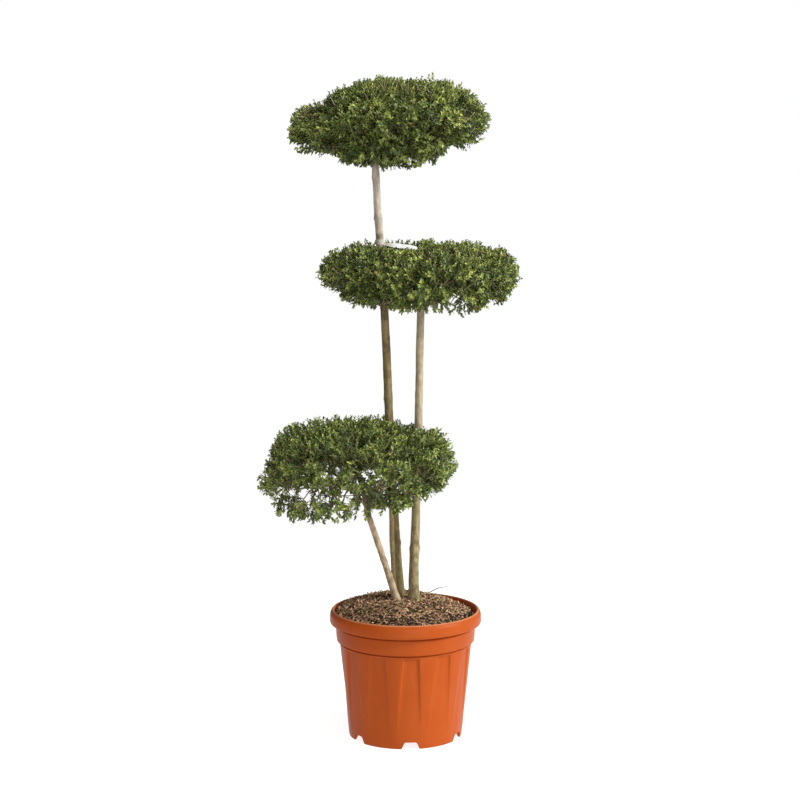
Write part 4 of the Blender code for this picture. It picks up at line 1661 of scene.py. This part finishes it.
@dataclass
class Growth:
    """Grows one cloud on from its limb: boughs, twigs, shoots and their leaves."""

    cloud: Cloud
    limbs: Limbs
    nodes: int = 7
    node_gap: float = 0.0064
    leader_share: int = 9
    leaf_wide: float = 0.48
    belly_leaf: float = 0.30
    leaf_spread: tuple = (0.72, 1.18)
    leaf_full: float = 0.94
    leaf_tip: float = 0.66
    splay: tuple = (72.0, 38.0, 13.0)
    lift: tuple = (0.12, 0.50)
    young_share: float = 0.22
    skin_lumps: float = 0.085
    gap_lumps: float = 0.070
    clump_lumps: float = 0.026
    patch_lumps: float = 0.110
    skin_full: float = 0.010
    skin_uneven: float = 0.006
    tip_sway: float = 0.75
    sprig_sway: float = 0.40
    tip_lift: float = 0.30
    tone_depth: float = 0.030
    tone_patch: float = 0.85
    hub_share: float = 0.55
    sunk: float = 0.004
    neck: float = 0.018
    bough_reach: float = 0.70
    bough_share: float = 0.86
    bough_lift: float = 0.014
    face_reach: float = 0.88
    edge_reach: float = 0.985
    stem_taper: tuple = (1.0, 0.98, 0.86, 0.70)
    bough_taper: tuple = (0.60, 0.54, 0.44, 0.36, 0.26)
    bough_bend: float = 0.008
    bough_sway: float = 0.0035
    twig_radii: tuple = (0.0026, 0.0023, 0.0020, 0.0016, 0.0012)
    twig_sway: float = 0.003
    twig_short: tuple = (0.034, 0.046)
    shoot_radii: tuple = (0.0010, 0.0009, 0.0008)
    tip_radii: tuple = (0.0009, 0.0008, 0.0005)
    leader_grow: float = 1.35
    stub_radii: tuple = (0.0014, 0.0013, 0.0012, 0.0010)
    stub_length: tuple = (0.030, 0.046)
    stub_depth: float = 0.024
    spare: float = 0.02
    draw: int = 60000

    def __post_init__(self) -> None:
        """Seeds the growth and draws the lumps of the cloud's skin and the gaps between its sprays."""
        self.rng = np.random.default_rng(self.cloud.seed)
        self.skin = Lumps(self.rng, self.skin_lumps)
        self.gaps = Lumps(self.rng, self.gap_lumps)
        self.clumps = Lumps(self.rng, self.clump_lumps)
        self.patches = Lumps(self.rng, self.patch_lumps)

    def face_point(self, turn: float, share: float, upward: bool) -> Array:
        """A point of the cloud's upper or lower face.

        Args:
            turn: the direction from the middle.
            share: how far out.
            upward: the upper face.

        Returns:
            The place.
        """
        x = self.cloud.centre[0] + self.cloud.reach[0] * share * math.sin(turn)
        y = self.cloud.centre[1] - self.cloud.reach[1] * share * math.cos(turn)
        return np.array([x, y, float(self.cloud.faces(np.float64(x), np.float64(y))[1 if upward else 0])])

    def wander(self, size: float, count: Optional[int] = None) -> Array:
        """Random steps of one length, one or several."""
        return unit(self.rng.normal(size=3 if count is None else (count, 3))) * size

    def bent(self, start: Array, bend: Array, end: Array, sway: float) -> Array:
        """Five points from a start over a bend to an end, each half swaying a little."""
        first = (start + bend) / 2 + self.wander(sway)
        return np.array([start, first, bend, (bend + end) / 2 + self.wander(sway), end])

    def grow_boughs(self) -> tuple[Array, list, list]:
        """Grows the mass's own stem and its boughs.

        Returns:
            Places to branch from, the runs and their radii.
        """
        cloud, radius = self.cloud, self.cloud.foot_radius
        foot = np.array(cloud.foot) - UP * self.sunk
        hub = foot + (np.array(cloud.centre) - foot) * self.hub_share
        runs = [np.array([foot, foot + UP * self.neck, (foot + hub) / 2 + [0.001, 0.002, 0.004], hub])]
        radii = [np.array(self.stem_taper) * radius]
        starts = [hub]
        for index in range(cloud.boughs):
            turn = math.tau * (index + self.rng.uniform(-0.2, 0.2)) / cloud.boughs
            end = hub + (self.face_point(turn, self.bough_reach, True) - hub) * self.bough_share
            level = cloud.centre[2] + cloud.slope * (end[0] - cloud.centre[0])
            end[2] = level + self.rng.uniform(-0.15, 0.2) * cloud.rise
            bend = (hub + end) / 2 + UP * self.bough_lift + self.wander(self.bough_bend)
            points = self.bent(hub - (end - hub) * 0.02, bend, end, self.bough_sway)
            if self.limbs.clear(self.fill(points), radius * 0.5 + 0.0015).all():
                runs.append(points)
                radii.append(np.array(self.bough_taper) * radius)
                starts += list(points[1:])
        return np.array(starts), runs, radii

    @staticmethod
    def fill(points: Array, steps: int = 10) -> Array:
        """Points close together along a bent run."""
        shares = np.linspace(0, 1, steps)[:, None]
        return np.concatenate([a + (b - a) * shares for a, b in zip(points, points[1:])])

    def grow_twigs(self, starts: Array) -> tuple[list, list]:
        """Grows the twigs that reach out to evenly spread places on the clipped faces.

        Args:
            starts: places to branch from.

        Returns:
            The runs and their radii.
        """
        crown, belly, side = self.cloud.targets
        golden = math.pi * (3 - math.sqrt(5))
        targets = []
        for count, upward in ((crown, True), (belly, False)):
            for index in range(count):
                share = self.face_reach * math.sqrt((index + 0.5) / count)
                targets.append(self.face_point(index * golden + self.rng.uniform(-0.15, 0.15), share, upward))
        for index in range(side):
            turn = math.tau * (index + self.rng.uniform(-0.2, 0.2)) / side
            targets.append(self.face_point(turn, self.edge_reach, index % 2 == 0))
        runs, radii = [], []
        for target in targets:
            start = starts[np.argmin(np.linalg.norm(starts - target, axis=1))]
            tip = target - unit(target - start) * self.rng.uniform(*self.twig_short)
            bend = start + (tip - start) * 0.55 + self.wander(self.bough_bend)
            run = self.bent(start, bend, tip, self.twig_sway)
            if self.limbs.clear(self.fill(run), self.twig_radii[0] + 0.0004).all():
                runs.append(run)
                radii.append(np.array(self.twig_radii))
        return runs, radii

    def spots(self) -> Array:
        """Random places in and just round the cloud."""
        cloud = self.cloud
        low = np.array(cloud.centre) - np.array([*cloud.reach, cloud.drop * 1.3]) - self.spare
        high = np.array(cloud.centre) + np.array([*cloud.reach, cloud.rise * 1.3]) + self.spare
        return self.rng.uniform(low, high, (self.draw, 3))

    def place_tips(self) -> tuple[Array, Array]:
        """Chooses where leafy shoots end: thick under the clipped skin, thin inside, few in the gaps.

        Returns:
            Tips and their directions.
        """
        cloud = self.cloud
        found = []
        while sum(len(part) for part in found) < cloud.sprays:
            spots = self.spots()
            under = cloud.depth(spots) - cloud.cut(spots) - cloud.lump * self.skin.at(spots)
            chance = np.exp(-((np.maximum(under - self.skin_full, 0) / cloud.shell) ** 1.6))
            chance *= np.clip((self.gaps.at(spots) - cloud.openness(spots)) / 0.5, 0.0, 1.0)
            chance *= np.clip((self.clumps.at(spots) + 0.45) / 0.9, 0.02, 1.0)
            inside = under > self.rng.uniform(0.0, self.skin_uneven, len(spots))
            found.append(spots[inside & (self.rng.random(len(spots)) < chance)])
        tips = np.concatenate(found)[: cloud.sprays]
        found = []
        while sum(len(part) for part in found) < cloud.sprigs:
            spots = self.spots()
            deep = cloud.depth(spots) - cloud.cut(spots)
            proud = deep > self.rng.uniform(-cloud.sprig, 0.0, len(spots))
            found.append(spots[(deep < 0.002) & proud])
        sprigs = np.concatenate(found)[: cloud.sprigs]
        sways = self.wander(self.tip_sway, len(tips)), self.wander(self.sprig_sway, len(sprigs))
        sway = np.concatenate(sways)
        tips = np.concatenate([tips, sprigs])
        return tips, unit(cloud.outward(tips) + sway + UP * self.tip_lift)

    @staticmethod
    def attach(feet: Array, starts: Array) -> Array:
        """The nearest place to branch from for each foot.

        Args:
            feet: where shoots begin to bear leaves.
            starts: places to branch from.

        Returns:
            One start for each foot.
        """
        found = np.empty_like(feet)
        for at in range(0, len(feet), 500):
            gaps = np.linalg.norm(feet[at : at + 500, None] - starts[None], axis=2)
            found[at : at + 500] = starts[np.argmin(gaps, axis=1)]
        return found

    def link(self, starts: Array, feet: Array, tips: Array) -> Array:
        """Bends thin runs from their starts through the feet to the tips.

        Args:
            starts: where they branch off.
            feet: where the leaves begin.
            tips: where they end.

        Returns:
            Runs, n by 5 by 3.
        """
        loose = np.minimum(0.006, np.linalg.norm(feet - starts, axis=1) * 0.12)
        sway = self.wander(1.0, len(feet)) * loose[:, None]
        middle = starts + (feet - starts) * 0.5 + sway
        return np.stack([starts, middle, feet, (feet + tips) / 2 + sway * 0.2, tips], 1)

    def grow_shoots(self, branching: Array) -> tuple[Array, Array, Array]:
        """Grows the leafy shoots, a few leading ones from the twigs and the rest from those.

        Args:
            branching: places to branch from.

        Returns:
            Runs, their directions, and which of them lead.
        """
        tips, aim = self.place_tips()
        feet = tips - aim * self.nodes * self.node_gap * self.rng.uniform(0.8, 1.15, (len(tips), 1))
        lead = np.arange(len(tips)) % self.leader_share == 0
        first = self.link(self.attach(feet[lead], branching), feet[lead], tips[lead])
        finer = np.concatenate([first[:, 1], (first[:, 1] + first[:, 2]) / 2, first[:, 2], branching])
        second = self.link(self.attach(feet[~lead], finer), feet[~lead], tips[~lead])
        runs = np.concatenate([first, second])
        aim = np.concatenate([aim[lead], aim[~lead]])
        lead = np.arange(len(runs)) < len(first)
        free = self.limbs.clear(runs, 0.0015).all(axis=1) & self.cloud.outside_rooms(runs).all(axis=1)
        free &= self.cloud.holds(runs).all(axis=1)
        return runs[free], aim[free], lead[free]

    def cut_stubs(self, runs: Array) -> Mesh:
        """Leaves the bare ends of clipped twigs in the hollows of the skin.

        Args:
            runs: the leafy shoots, which they grow beside.

        Returns:
            The joined stubs.
        """
        cloud = self.cloud
        hollow = self.patches.at(runs[:, -1]) + self.rng.normal(0.0, 0.5, len(runs))
        near = cloud.depth(runs[:, -1]) < self.stub_depth
        chosen = runs[near][np.argsort(-hollow[near])[: cloud.stubs]]
        foot = chosen[:, 2]
        aim = unit(cloud.outward(foot) + self.wander(0.8, len(foot)) + UP * 0.2)
        tip = foot + aim * self.rng.uniform(*self.stub_length, (len(foot), 1))
        bend = (foot + tip) / 2 + self.wander(0.0022, len(foot))
        stubs = np.stack([foot, (foot + bend) / 2, bend, tip], 1)
        stubs = stubs[self.limbs.clear(stubs, 0.002).all(axis=1) & cloud.outside_rooms(stubs).all(axis=1)]
        stubs = stubs[cloud.depth(stubs[:, -1]) > 0.002]
        return tubes(stubs, np.tile(self.stub_radii, (len(stubs), 1)))

    def choose_tones(self, tips: Array) -> Array:
        """Deals a tone to each shoot: fresher near the crown's skin, deeper inside and below; partly the
        leaves' own age, partly painted light on the crown and painted shade inside and below.

        Args:
            tips: the shoots' tips.

        Returns:
            The number of each shoot's tone.
        """
        cloud = self.cloud
        high = cloud.height_share(tips)
        skin = np.exp(-np.maximum(cloud.depth(tips), 0) / self.tone_depth)
        patch = np.exp(self.tone_patch * self.patches.at(tips))
        weights = []
        for kind in Tone:
            share = np.full(len(tips), cloud.shares[kind.name])
            # painted light in part: the fresh tones grow commoner high on the crown's skin
            if kind in (Tone.LIME, Tone.FRESH):
                share *= (0.35 + cloud.crown_freshness_and_light * high * skin + (0.80 - cloud.crown_freshness_and_light / 2) * skin) * patch
            # painted shade in part: the deep tone grows commoner inside the cloud and low down
            if kind is Tone.DEEP:
                share *= 0.6 + 0.3 * (1 - high) + 1.0 * (1 - skin)
            weights.append(share)
        steps = np.cumsum(np.stack(weights, 1), axis=1)
        return (self.rng.random(len(tips))[:, None] * steps[:, -1:] > steps).sum(axis=1)

    def leaves(self, runs: Array, aim: Array) -> tuple[Array, Array, Array]:
        """Sets pairs of leaves, each pair a quarter turn on from the last, along every shoot.

        Args:
            runs: the shoots' runs.
            aim: their directions.

        Returns:
            Leaf corners, n by 6 by 3, the number of each leaf's shoot, and which leaves are at its tip.
        """
        cloud, count, rng = self.cloud, len(runs), self.rng
        helper = unit(np.cross(aim, self.wander(1.0, count)))
        other = np.cross(aim, helper)
        wide, closing, uneven = self.splay
        found, owners, young = [], [], []
        for node in range(self.nodes + 1):
            share = node / self.nodes
            half = min(1.0, share * 2), max(0.0, share * 2 - 1)
            root = runs[:, 2] + (runs[:, 3] - runs[:, 2]) * half[0] + (runs[:, 4] - runs[:, 3]) * half[1]
            low = (1 - cloud.height_share(root))[:, None]
            for side in (0.0, math.pi):
                turn = (node * math.pi / 2 + side + rng.normal(0, 0.30, count))[:, None]
                out = helper * np.cos(turn) + other * np.sin(turn)
                splay = np.radians(wide - closing * share + rng.normal(0, uneven, count))[:, None]
                lift = UP * (self.lift[0] - self.lift[1] * low**2)
                along = unit(aim * np.cos(splay) + out * np.sin(splay) + lift)
                over = aim * np.sin(splay) - out * np.cos(splay) + UP * 0.45 + rng.normal(0, 0.25, (count, 3))
                normal = unit(over - along * (over * along).sum(1, keepdims=True))
                size = cloud.leaf * rng.uniform(*self.leaf_spread, count)
                size = size * (self.leaf_full if node < self.nodes else self.leaf_tip)
                points = self.blade(root, along, normal, size[:, None] * (0.96 + self.belly_leaf * low**2))
                keep = cloud.holds(points).all(axis=1) & cloud.outside_rooms(points).all(axis=1)
                keep &= self.limbs.clear(points[:, 3], 0.001) & self.limbs.clear(points[:, 0], 0.0)
                found.append(points[keep])
                owners.append(np.flatnonzero(keep))
                young.append(np.full(keep.sum(), node >= self.nodes - 1))
        return np.concatenate(found), np.concatenate(owners), np.concatenate(young)

    def blade(self, root: Array, along: Array, normal: Array, size: Array) -> Array:
        """A privet leaf as six corners, folded a little along its rib.

        Args:
            root: where it grows from.
            along: its direction.
            normal: its upper side.
            size: its length.

        Returns:
            Corners, n by 6 by 3: root, left pair, tip, right pair.
        """
        across = np.cross(normal, along)
        half = size * self.leaf_wide / 2
        low, high = root + along * size * 0.34, root + along * size * 0.72
        fold = normal * half * 0.38
        tip = root + along * size - normal * size * 0.07
        wide, narrow = across * half, across * half * 0.86
        high = high + fold * 0.8
        return np.stack([root, low + wide + fold, high + narrow, tip, high - narrow, low - wide + fold], 1)

    def dress(self, finishes: dict, wood: dict) -> None:
        """Builds and dresses the cloud's pieces.

        Args:
            finishes: a material for each tone.
            wood: a material for each kind of twig.
        """
        name = self.cloud.name
        starts, bough_runs, bough_radii = self.grow_boughs()
        twig_runs, twig_radii = self.grow_twigs(starts)
        limbs = [tubes(run[None], radii[None], 8) for run, radii in zip(bough_runs, bough_radii)]
        limbs += [tubes(run[None], radii[None], 6) for run, radii in zip(twig_runs, twig_radii)]
        boughs = mesh_from_arrays(f"{name}_boughs", *join(limbs))
        boughs.data.shade_smooth()
        present(boughs, wood[Wood.OLD], "stem_bark", name)
        branching = np.concatenate([self.fill(run, 4) for run in twig_runs] + [starts])
        runs, aim, lead = self.grow_shoots(branching)
        tone = self.choose_tones(runs[:, -1])
        fresh = [index for index, kind in enumerate(Tone) if kind not in (Tone.DEEP, Tone.BRONZE)]
        green = np.isin(tone, fresh)
        grow = np.where(lead, self.leader_grow, 1.0)[:, None]
        old = tubes(runs[:, :3], np.array(self.shoot_radii) * grow)
        tips = np.array(self.tip_radii) * grow
        brown = tubes(runs[~green][:, 2:], tips[~green])
        present(mesh_from_arrays(f"{name}_twigs", *join([old, brown])), wood[Wood.OLD], "stem_bark")
        shoots = tubes(runs[green][:, 2:], tips[green])
        present(mesh_from_arrays(f"{name}_green_shoots", *shoots), wood[Wood.GREEN], "foliage")
        present(mesh_from_arrays(f"{name}_cut_stubs", *self.cut_stubs(runs)), wood[Wood.CUT], "stem_bark")
        points, owner, young = self.leaves(runs, aim)
        older = np.array([list(Tone).index(Tone[kind.value.older]) for kind in Tone])
        keeps = young | (self.rng.random(len(owner)) < self.young_share)
        shade = np.where(keeps, tone[owner], older[tone[owner]])
        blade = np.array([(0, 1, 2, 3), (0, 3, 4, 5)])
        for index, kind in enumerate(Tone):
            mine = points[shade == index]
            faces = (np.arange(len(mine))[:, None, None] * 6 + blade[None]).reshape(-1, 4)
            sprays = mesh_from_arrays(f"{name}_{kind.value.name}", mine.reshape(-1, 3), faces)
            present(sprays, finishes[kind], "foliage")


def join(parts: Sequence[Mesh]) -> Mesh:
    """Joins meshes of points and triangles.

    Args:
        parts: the meshes.

    Returns:
        One mesh.
    """
    points, faces, count = [], [], 0
    for places, corners in parts:
        points.append(places)
        faces.append(corners + count)
        count += len(places)
    return np.concatenate(points), np.concatenate(faces)


LABEL_ROOMS = (
    ((-0.100, -0.045, 1.4555), (-0.058, 0.062, 1.520)),
    ((-0.058, -0.045, 1.4500), (0.040, 0.062, 1.520)),
    ((-0.094, -0.300, 1.4605), (-0.050, -0.045, 1.520)),
    ((-0.050, -0.300, 1.4570), (0.034, -0.045, 1.520)),
)
CLOUDS = (
    Cloud(
        "cloud_low",
        centre=(-0.137, 0.0, 0.795), reach=(0.290, 0.270), rise=0.150, drop=0.130,
        crown=(4.5, 1.7), belly=(3.6, 1.5), slope=0.050, lean=(-0.13, -0.20),
        foot=(-0.1140, -0.022, 0.676), foot_radius=0.0086, seed=11,
        sprays=3200, sprigs=190, stubs=240, loose=(-0.75, 1.0),
        shares={"DEEP": 0.21, "FULL": 0.32, "FRESH": 0.33, "LIME": 0.13, "BRONZE": 0.01},
        windows=(
            Window(-0.225, 0.730, 0.150, 0.056, 2.0),
            Window(-0.095, 0.735, 0.060, 0.030, 1.9),
            Window(0.010, 0.735, 0.070, 0.032, 1.9),
        ),
        trims=(
            Trim(-0.425, 0.018, 0.060, -0.030),
            Trim(-0.380, 0.028, -0.010, -0.018),
            Trim(-0.340, 0.030, 0.0, -0.012),
            Trim(-0.295, 0.030, 0.006, 0.0),
            Trim(0.000, 0.030, 0.010, 0.0),
            Trim(0.062, 0.025, 0.0, -0.014),
            Trim(0.120, 0.030, -0.024, 0.0),
        ),
        inset=(0.005, 0.002), lump=0.007, proud=0.009, crown_freshness_and_light=0.1,
    ),
    Cloud(
        "cloud_middle",
        centre=(0.041, 0.020, 1.368), reach=(0.297, 0.275), rise=0.098, drop=0.108,
        crown=(6.5, 1.6), belly=(5.0, 1.4), slope=-0.012, lean=(0.04, 0.08),
        foot=(0.0425, 0.030, 1.270), foot_radius=0.0108, seed=24,
        sprays=4350, sprigs=130, stubs=440, loose=(-1.3, 0.85),
        shares={"DEEP": 0.20, "FULL": 0.27, "FRESH": 0.31, "LIME": 0.20, "BRONZE": 0.02},
        windows=(
            Window(0.150, 1.290, 0.065, 0.026, 2.2),
            Window(-0.215, 1.325, 0.040, 0.028, 1.1),
        ),
        trims=(
            Trim(-0.250, 0.030, -0.004, -0.014),
            Trim(0.245, 0.025, 0.004, 0.012),
            Trim(0.305, 0.030, -0.010, -0.010),
        ),
        inset=(0.004, 0.014), rooms=LABEL_ROOMS, crown_freshness_and_light=0.6,
    ),
    Cloud(
        "cloud_top",
        centre=(-0.048, 0.010, 1.812), reach=(0.295, 0.270), rise=0.130, drop=0.138,
        crown=(3.2, 1.35), belly=(2.3, 1.45), slope=0.068, lean=(0.02, 0.08),
        foot=(-0.0908, 0.020, 1.700), foot_radius=0.0100, seed=37,
        sprays=4600, sprigs=130, stubs=480, loose=(-1.4, 0.40),
        shares={"DEEP": 0.19, "FULL": 0.27, "FRESH": 0.30, "LIME": 0.21, "BRONZE": 0.03},
        windows=(
            Window(-0.005, 1.750, 0.055, 0.018, 1.9),
            Window(0.066, 1.758, 0.034, 0.015, 1.5),
            Window(-0.115, 1.735, 0.026, 0.012, 1.2),
        ),
        trims=(
            Trim(-0.245, 0.030, 0.020, 0.0),
            Trim(-0.325, 0.036, -0.016, -0.024),
            Trim(-0.210, 0.045, 0.0, 0.016),
            Trim(-0.130, 0.060, -0.008, 0.0),
            Trim(0.135, 0.030, -0.003, 0.016),
            Trim(0.225, 0.028, -0.004, -0.024),
        ),
        inset=(0.012, 0.008), crown_freshness_and_light=0.5,
    ),
)


# ---------------- label


@dataclass
class Label:
    """A blank plant label: a strap looped round the main stem, its tail laid on the middle cloud."""

    stem: Stem
    height: float = 1.466
    band: float = 0.014
    width: float = 0.022
    length: float = 0.100
    thickness: float = 0.0014
    turn: float = -17.0
    drop: float = 5.0
    roll: float = 32.0
    seat: float = 0.0003
    slack: float = 1.04
    sides: int = 48
    smooth: float = 30.0
    cuts: tuple = (0.010, 0.020, 0.032, 0.048, 0.064, 0.080, 0.094)
    waist: tuple = ((0.0, 0.56), (0.010, 0.60), (0.020, 0.80), (0.100, 0.60))
    sag: tuple = ((0.048, 0.0004), (0.064, 0.0010), (0.080, 0.0020), (0.094, 0.0031), (0.100, 0.0036))

    def root(self) -> tuple[Vector, float]:
        """The stem's middle at the strap, and the radius of the strap's inner side."""
        middle, bark = self.stem.at(self.height)
        return middle, bark * self.slack + 2 * self.seat + 0.0004

    def build_band(self) -> Thing:
        """Turns the strap's loop round the stem.

        Returns:
            The loop's mesh.
        """
        middle, inner = self.root()
        outer, low = inner + self.thickness, self.height - self.band / 2
        work = Workpiece.circle("label_band", self.sides, inner, low)
        shift((middle.x, middle.y, 0.0))
        path = ((outer - 0.0003, 0.0), (outer, 0.0004), (outer, self.band - 0.0004))
        path += ((outer - 0.0003, self.band), (inner, self.band), (inner, 0.0))
        at, level = inner, 0.0
        for wide, up in path:
            centre = self.stem.at(low + up)[0]
            lean = centre - self.stem.at(low + level)[0]
            work.draw_on((lean.x, lean.y, up - level), wide / at, centre)
            at, level = wide, up
        return work.close(self.smooth)

    def build_tail(self) -> Thing:
        """Shapes the tail: a strip with a waisted root and a clipped end, sagging a little.

        Returns:
            The tail's mesh.
        """
        middle, inner = self.root()
        size = (self.length, self.width, self.thickness)
        work = Workpiece.cube("label_tail", size, (self.length / 2, 0.0, 0.0))
        for reach in self.cuts:
            bpy.ops.mesh.select_all(action="SELECT")
            bpy.ops.mesh.bisect(plane_co=(reach, 0.0, 0.0), plane_no=(1.0, 0.0, 0.0))
        for reach, half in self.waist:
            work.pick(lambda place, at=reach: abs(place.x - at) < 0.001)
            resize(1.0, half, (reach, 0.0, 0.0))
        for reach, sag in self.sag:
            work.pick(lambda place, at=reach: abs(place.x - at) < 0.001)
            shift((0.0, 0.0, -sag))
        bpy.ops.mesh.select_all(action="SELECT")
        for degrees, axis in ((self.roll, "X"), (self.drop, "Y"), (self.turn, "Z")):
            spin(degrees, axis)
        turn, drop = math.radians(self.turn), math.radians(self.drop)
        along = Vector((math.cos(turn) * math.cos(drop), math.sin(turn) * math.cos(drop), -math.sin(drop)))
        root = middle + along * (inner + self.thickness * 0.4) - Vector((0, 0, self.band * 0.5 - 0.002))
        shift(root)
        made = work.close(self.smooth)
        apply_modifier(made, "BEVEL", width=0.0003, segments=2, limit_method="ANGLE")
        return made

    def dress(self) -> None:
        """Builds and dresses the label."""
        card = Card().mix()
        present(self.build_band(), card, "label_card", "plant_label")
        present(self.build_tail(), card, "label_card")


# ---------------- studio


@dataclass
class Studio:
    """A pale floor, soft daylight all round, a key light from the right and the camera."""

    lens: float = 85.0
    eye: tuple = (-0.0163, -5.50, 1.70)
    pitch: float = 7.2
    sky: float = 0.43
    ground: float = 0.34
    left: float = 0.42
    right: float = 1.62
    horizon: tuple[float, float] = (-0.25, 0.6)
    floor_radius: float = 2.6
    floor_drop: float = 0.0005
    sensor: float = 36.0

    def floor(self) -> None:
        """Lays the floor."""
        work = Workpiece.circle("studio_floor", 64, self.floor_radius, -self.floor_drop)
        bpy.ops.mesh.edge_face_add()
        bpy.ops.mesh.inset(thickness=self.floor_radius * 0.1)
        made = work.close()
        made.data.materials.append(StudioFloor().mix())

    @staticmethod
    def ramp(value: Signal, start: float, end: float, low: float, high: float) -> Signal:
        """Turns the values from start to end into those from low to high."""
        names = ("From Min", "From Max", "To Min", "To Max")
        inputs = {"Value": value, **dict(zip(names, (start, end, low, high)))}
        return value.wiring.node("ShaderNodeMapRange", {}, inputs)

    def daylight(self) -> None:
        """Lights the scene from all round, brighter from above, before a white backdrop."""
        world = bpy.data.worlds.new("studio_world")
        bpy.context.scene.world = world
        world.use_nodes = True
        world.node_tree.nodes.clear()
        wiring = Wiring(world.node_tree)
        place = wiring.node("ShaderNodeTexCoord", {}, {}, "Generated")
        upward = self.ramp(wiring.axis(place, "Z"), *self.horizon, self.ground, self.sky)
        across = self.ramp(wiring.axis(place, "X"), -1.0, 1.0, self.left, self.right)
        light = wiring.node("ShaderNodeBackground", {}, {"Color": WHITE, "Strength": upward * across})
        backdrop = wiring.node("ShaderNodeBackground", {}, {"Color": WHITE})
        seen = wiring.node("ShaderNodeLightPath", {}, {}, "Is Camera Ray")
        mixed = wiring.node("ShaderNodeMixShader", {}, {0: seen, 1: light, 2: backdrop})
        wiring.plug(wiring.tree.nodes.new("ShaderNodeOutputWorld").inputs[0], mixed)

    @staticmethod
    def lamp(
        name: str, azimuth: float, elevation: float, strength: float, softness: float,
        warmth: Colour = (1.0, 1.0, 1.0),
    ) -> None:
        """Adds a soft far light.

        Args:
            name: its name.
            azimuth: where it stands, in degrees from the front towards the right.
            elevation: its height, in degrees.
            strength: its power.
            softness: how wide it looks, in degrees.
            warmth: its colour.
        """
        data = bpy.data.lights.new(name, "SUN")
        data.energy, data.angle, data.color = strength, math.radians(softness), warmth
        made = bpy.data.objects.new(name, data)
        bpy.context.scene.collection.objects.link(made)
        angle, up = math.radians(azimuth), math.radians(elevation)
        back = Vector((math.sin(angle) * math.cos(up), -math.cos(angle) * math.cos(up), math.sin(up)))
        made.rotation_euler = back.to_track_quat("Z", "Y").to_euler()

    def camera(self) -> None:
        """Stands the camera at eye height in front."""
        data = bpy.data.cameras.new("studio_camera")
        data.lens, data.sensor_width = self.lens, self.sensor
        made = bpy.data.objects.new("studio_camera", data)
        bpy.context.scene.collection.objects.link(made)
        made.location = self.eye
        made.rotation_euler = (math.radians(90 - self.pitch), 0.0, 0.0)
        bpy.context.scene.camera = made

    def set_up(self) -> None:
        """Sets the whole studio."""
        self.camera()
        self.floor()
        self.daylight()
        self.lamp("key_light", 72.0, 28.0, 3.8, 16.0, (0.94, 1.0, 1.0))
        self.lamp("top_light", 10.0, 70.0, 0.95, 40.0)
        self.lamp("front_light", 12.0, 4.0, 1.0, 20.0)
        bpy.context.scene.view_settings.view_transform = "Standard"


def main() -> None:
    """Builds the potted topiary, piece by piece."""
    logging.basicConfig(level=logging.INFO, format="%(name)s: %(message)s")
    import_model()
    Studio().set_up()
    pot = Pot()
    present(pot.build(), PotPlastic().mix(), "terracotta_plastic", "pot")
    Mulch(pot).dress()
    for stem in STEMS:
        present(stem.build(), stem.bark.mix(), "stem_bark", stem.name.replace("bark_", ""))
    limbs = Limbs()
    finishes = {kind: kind.value.mix() for kind in Tone}
    wood = {kind: kind.value.mix() for kind in Wood}
    for cloud in CLOUDS:
        Growth(cloud, limbs).dress(finishes, wood)
    Label(MAIN_STEM).dress()


if __name__ == "__main__":
    main()
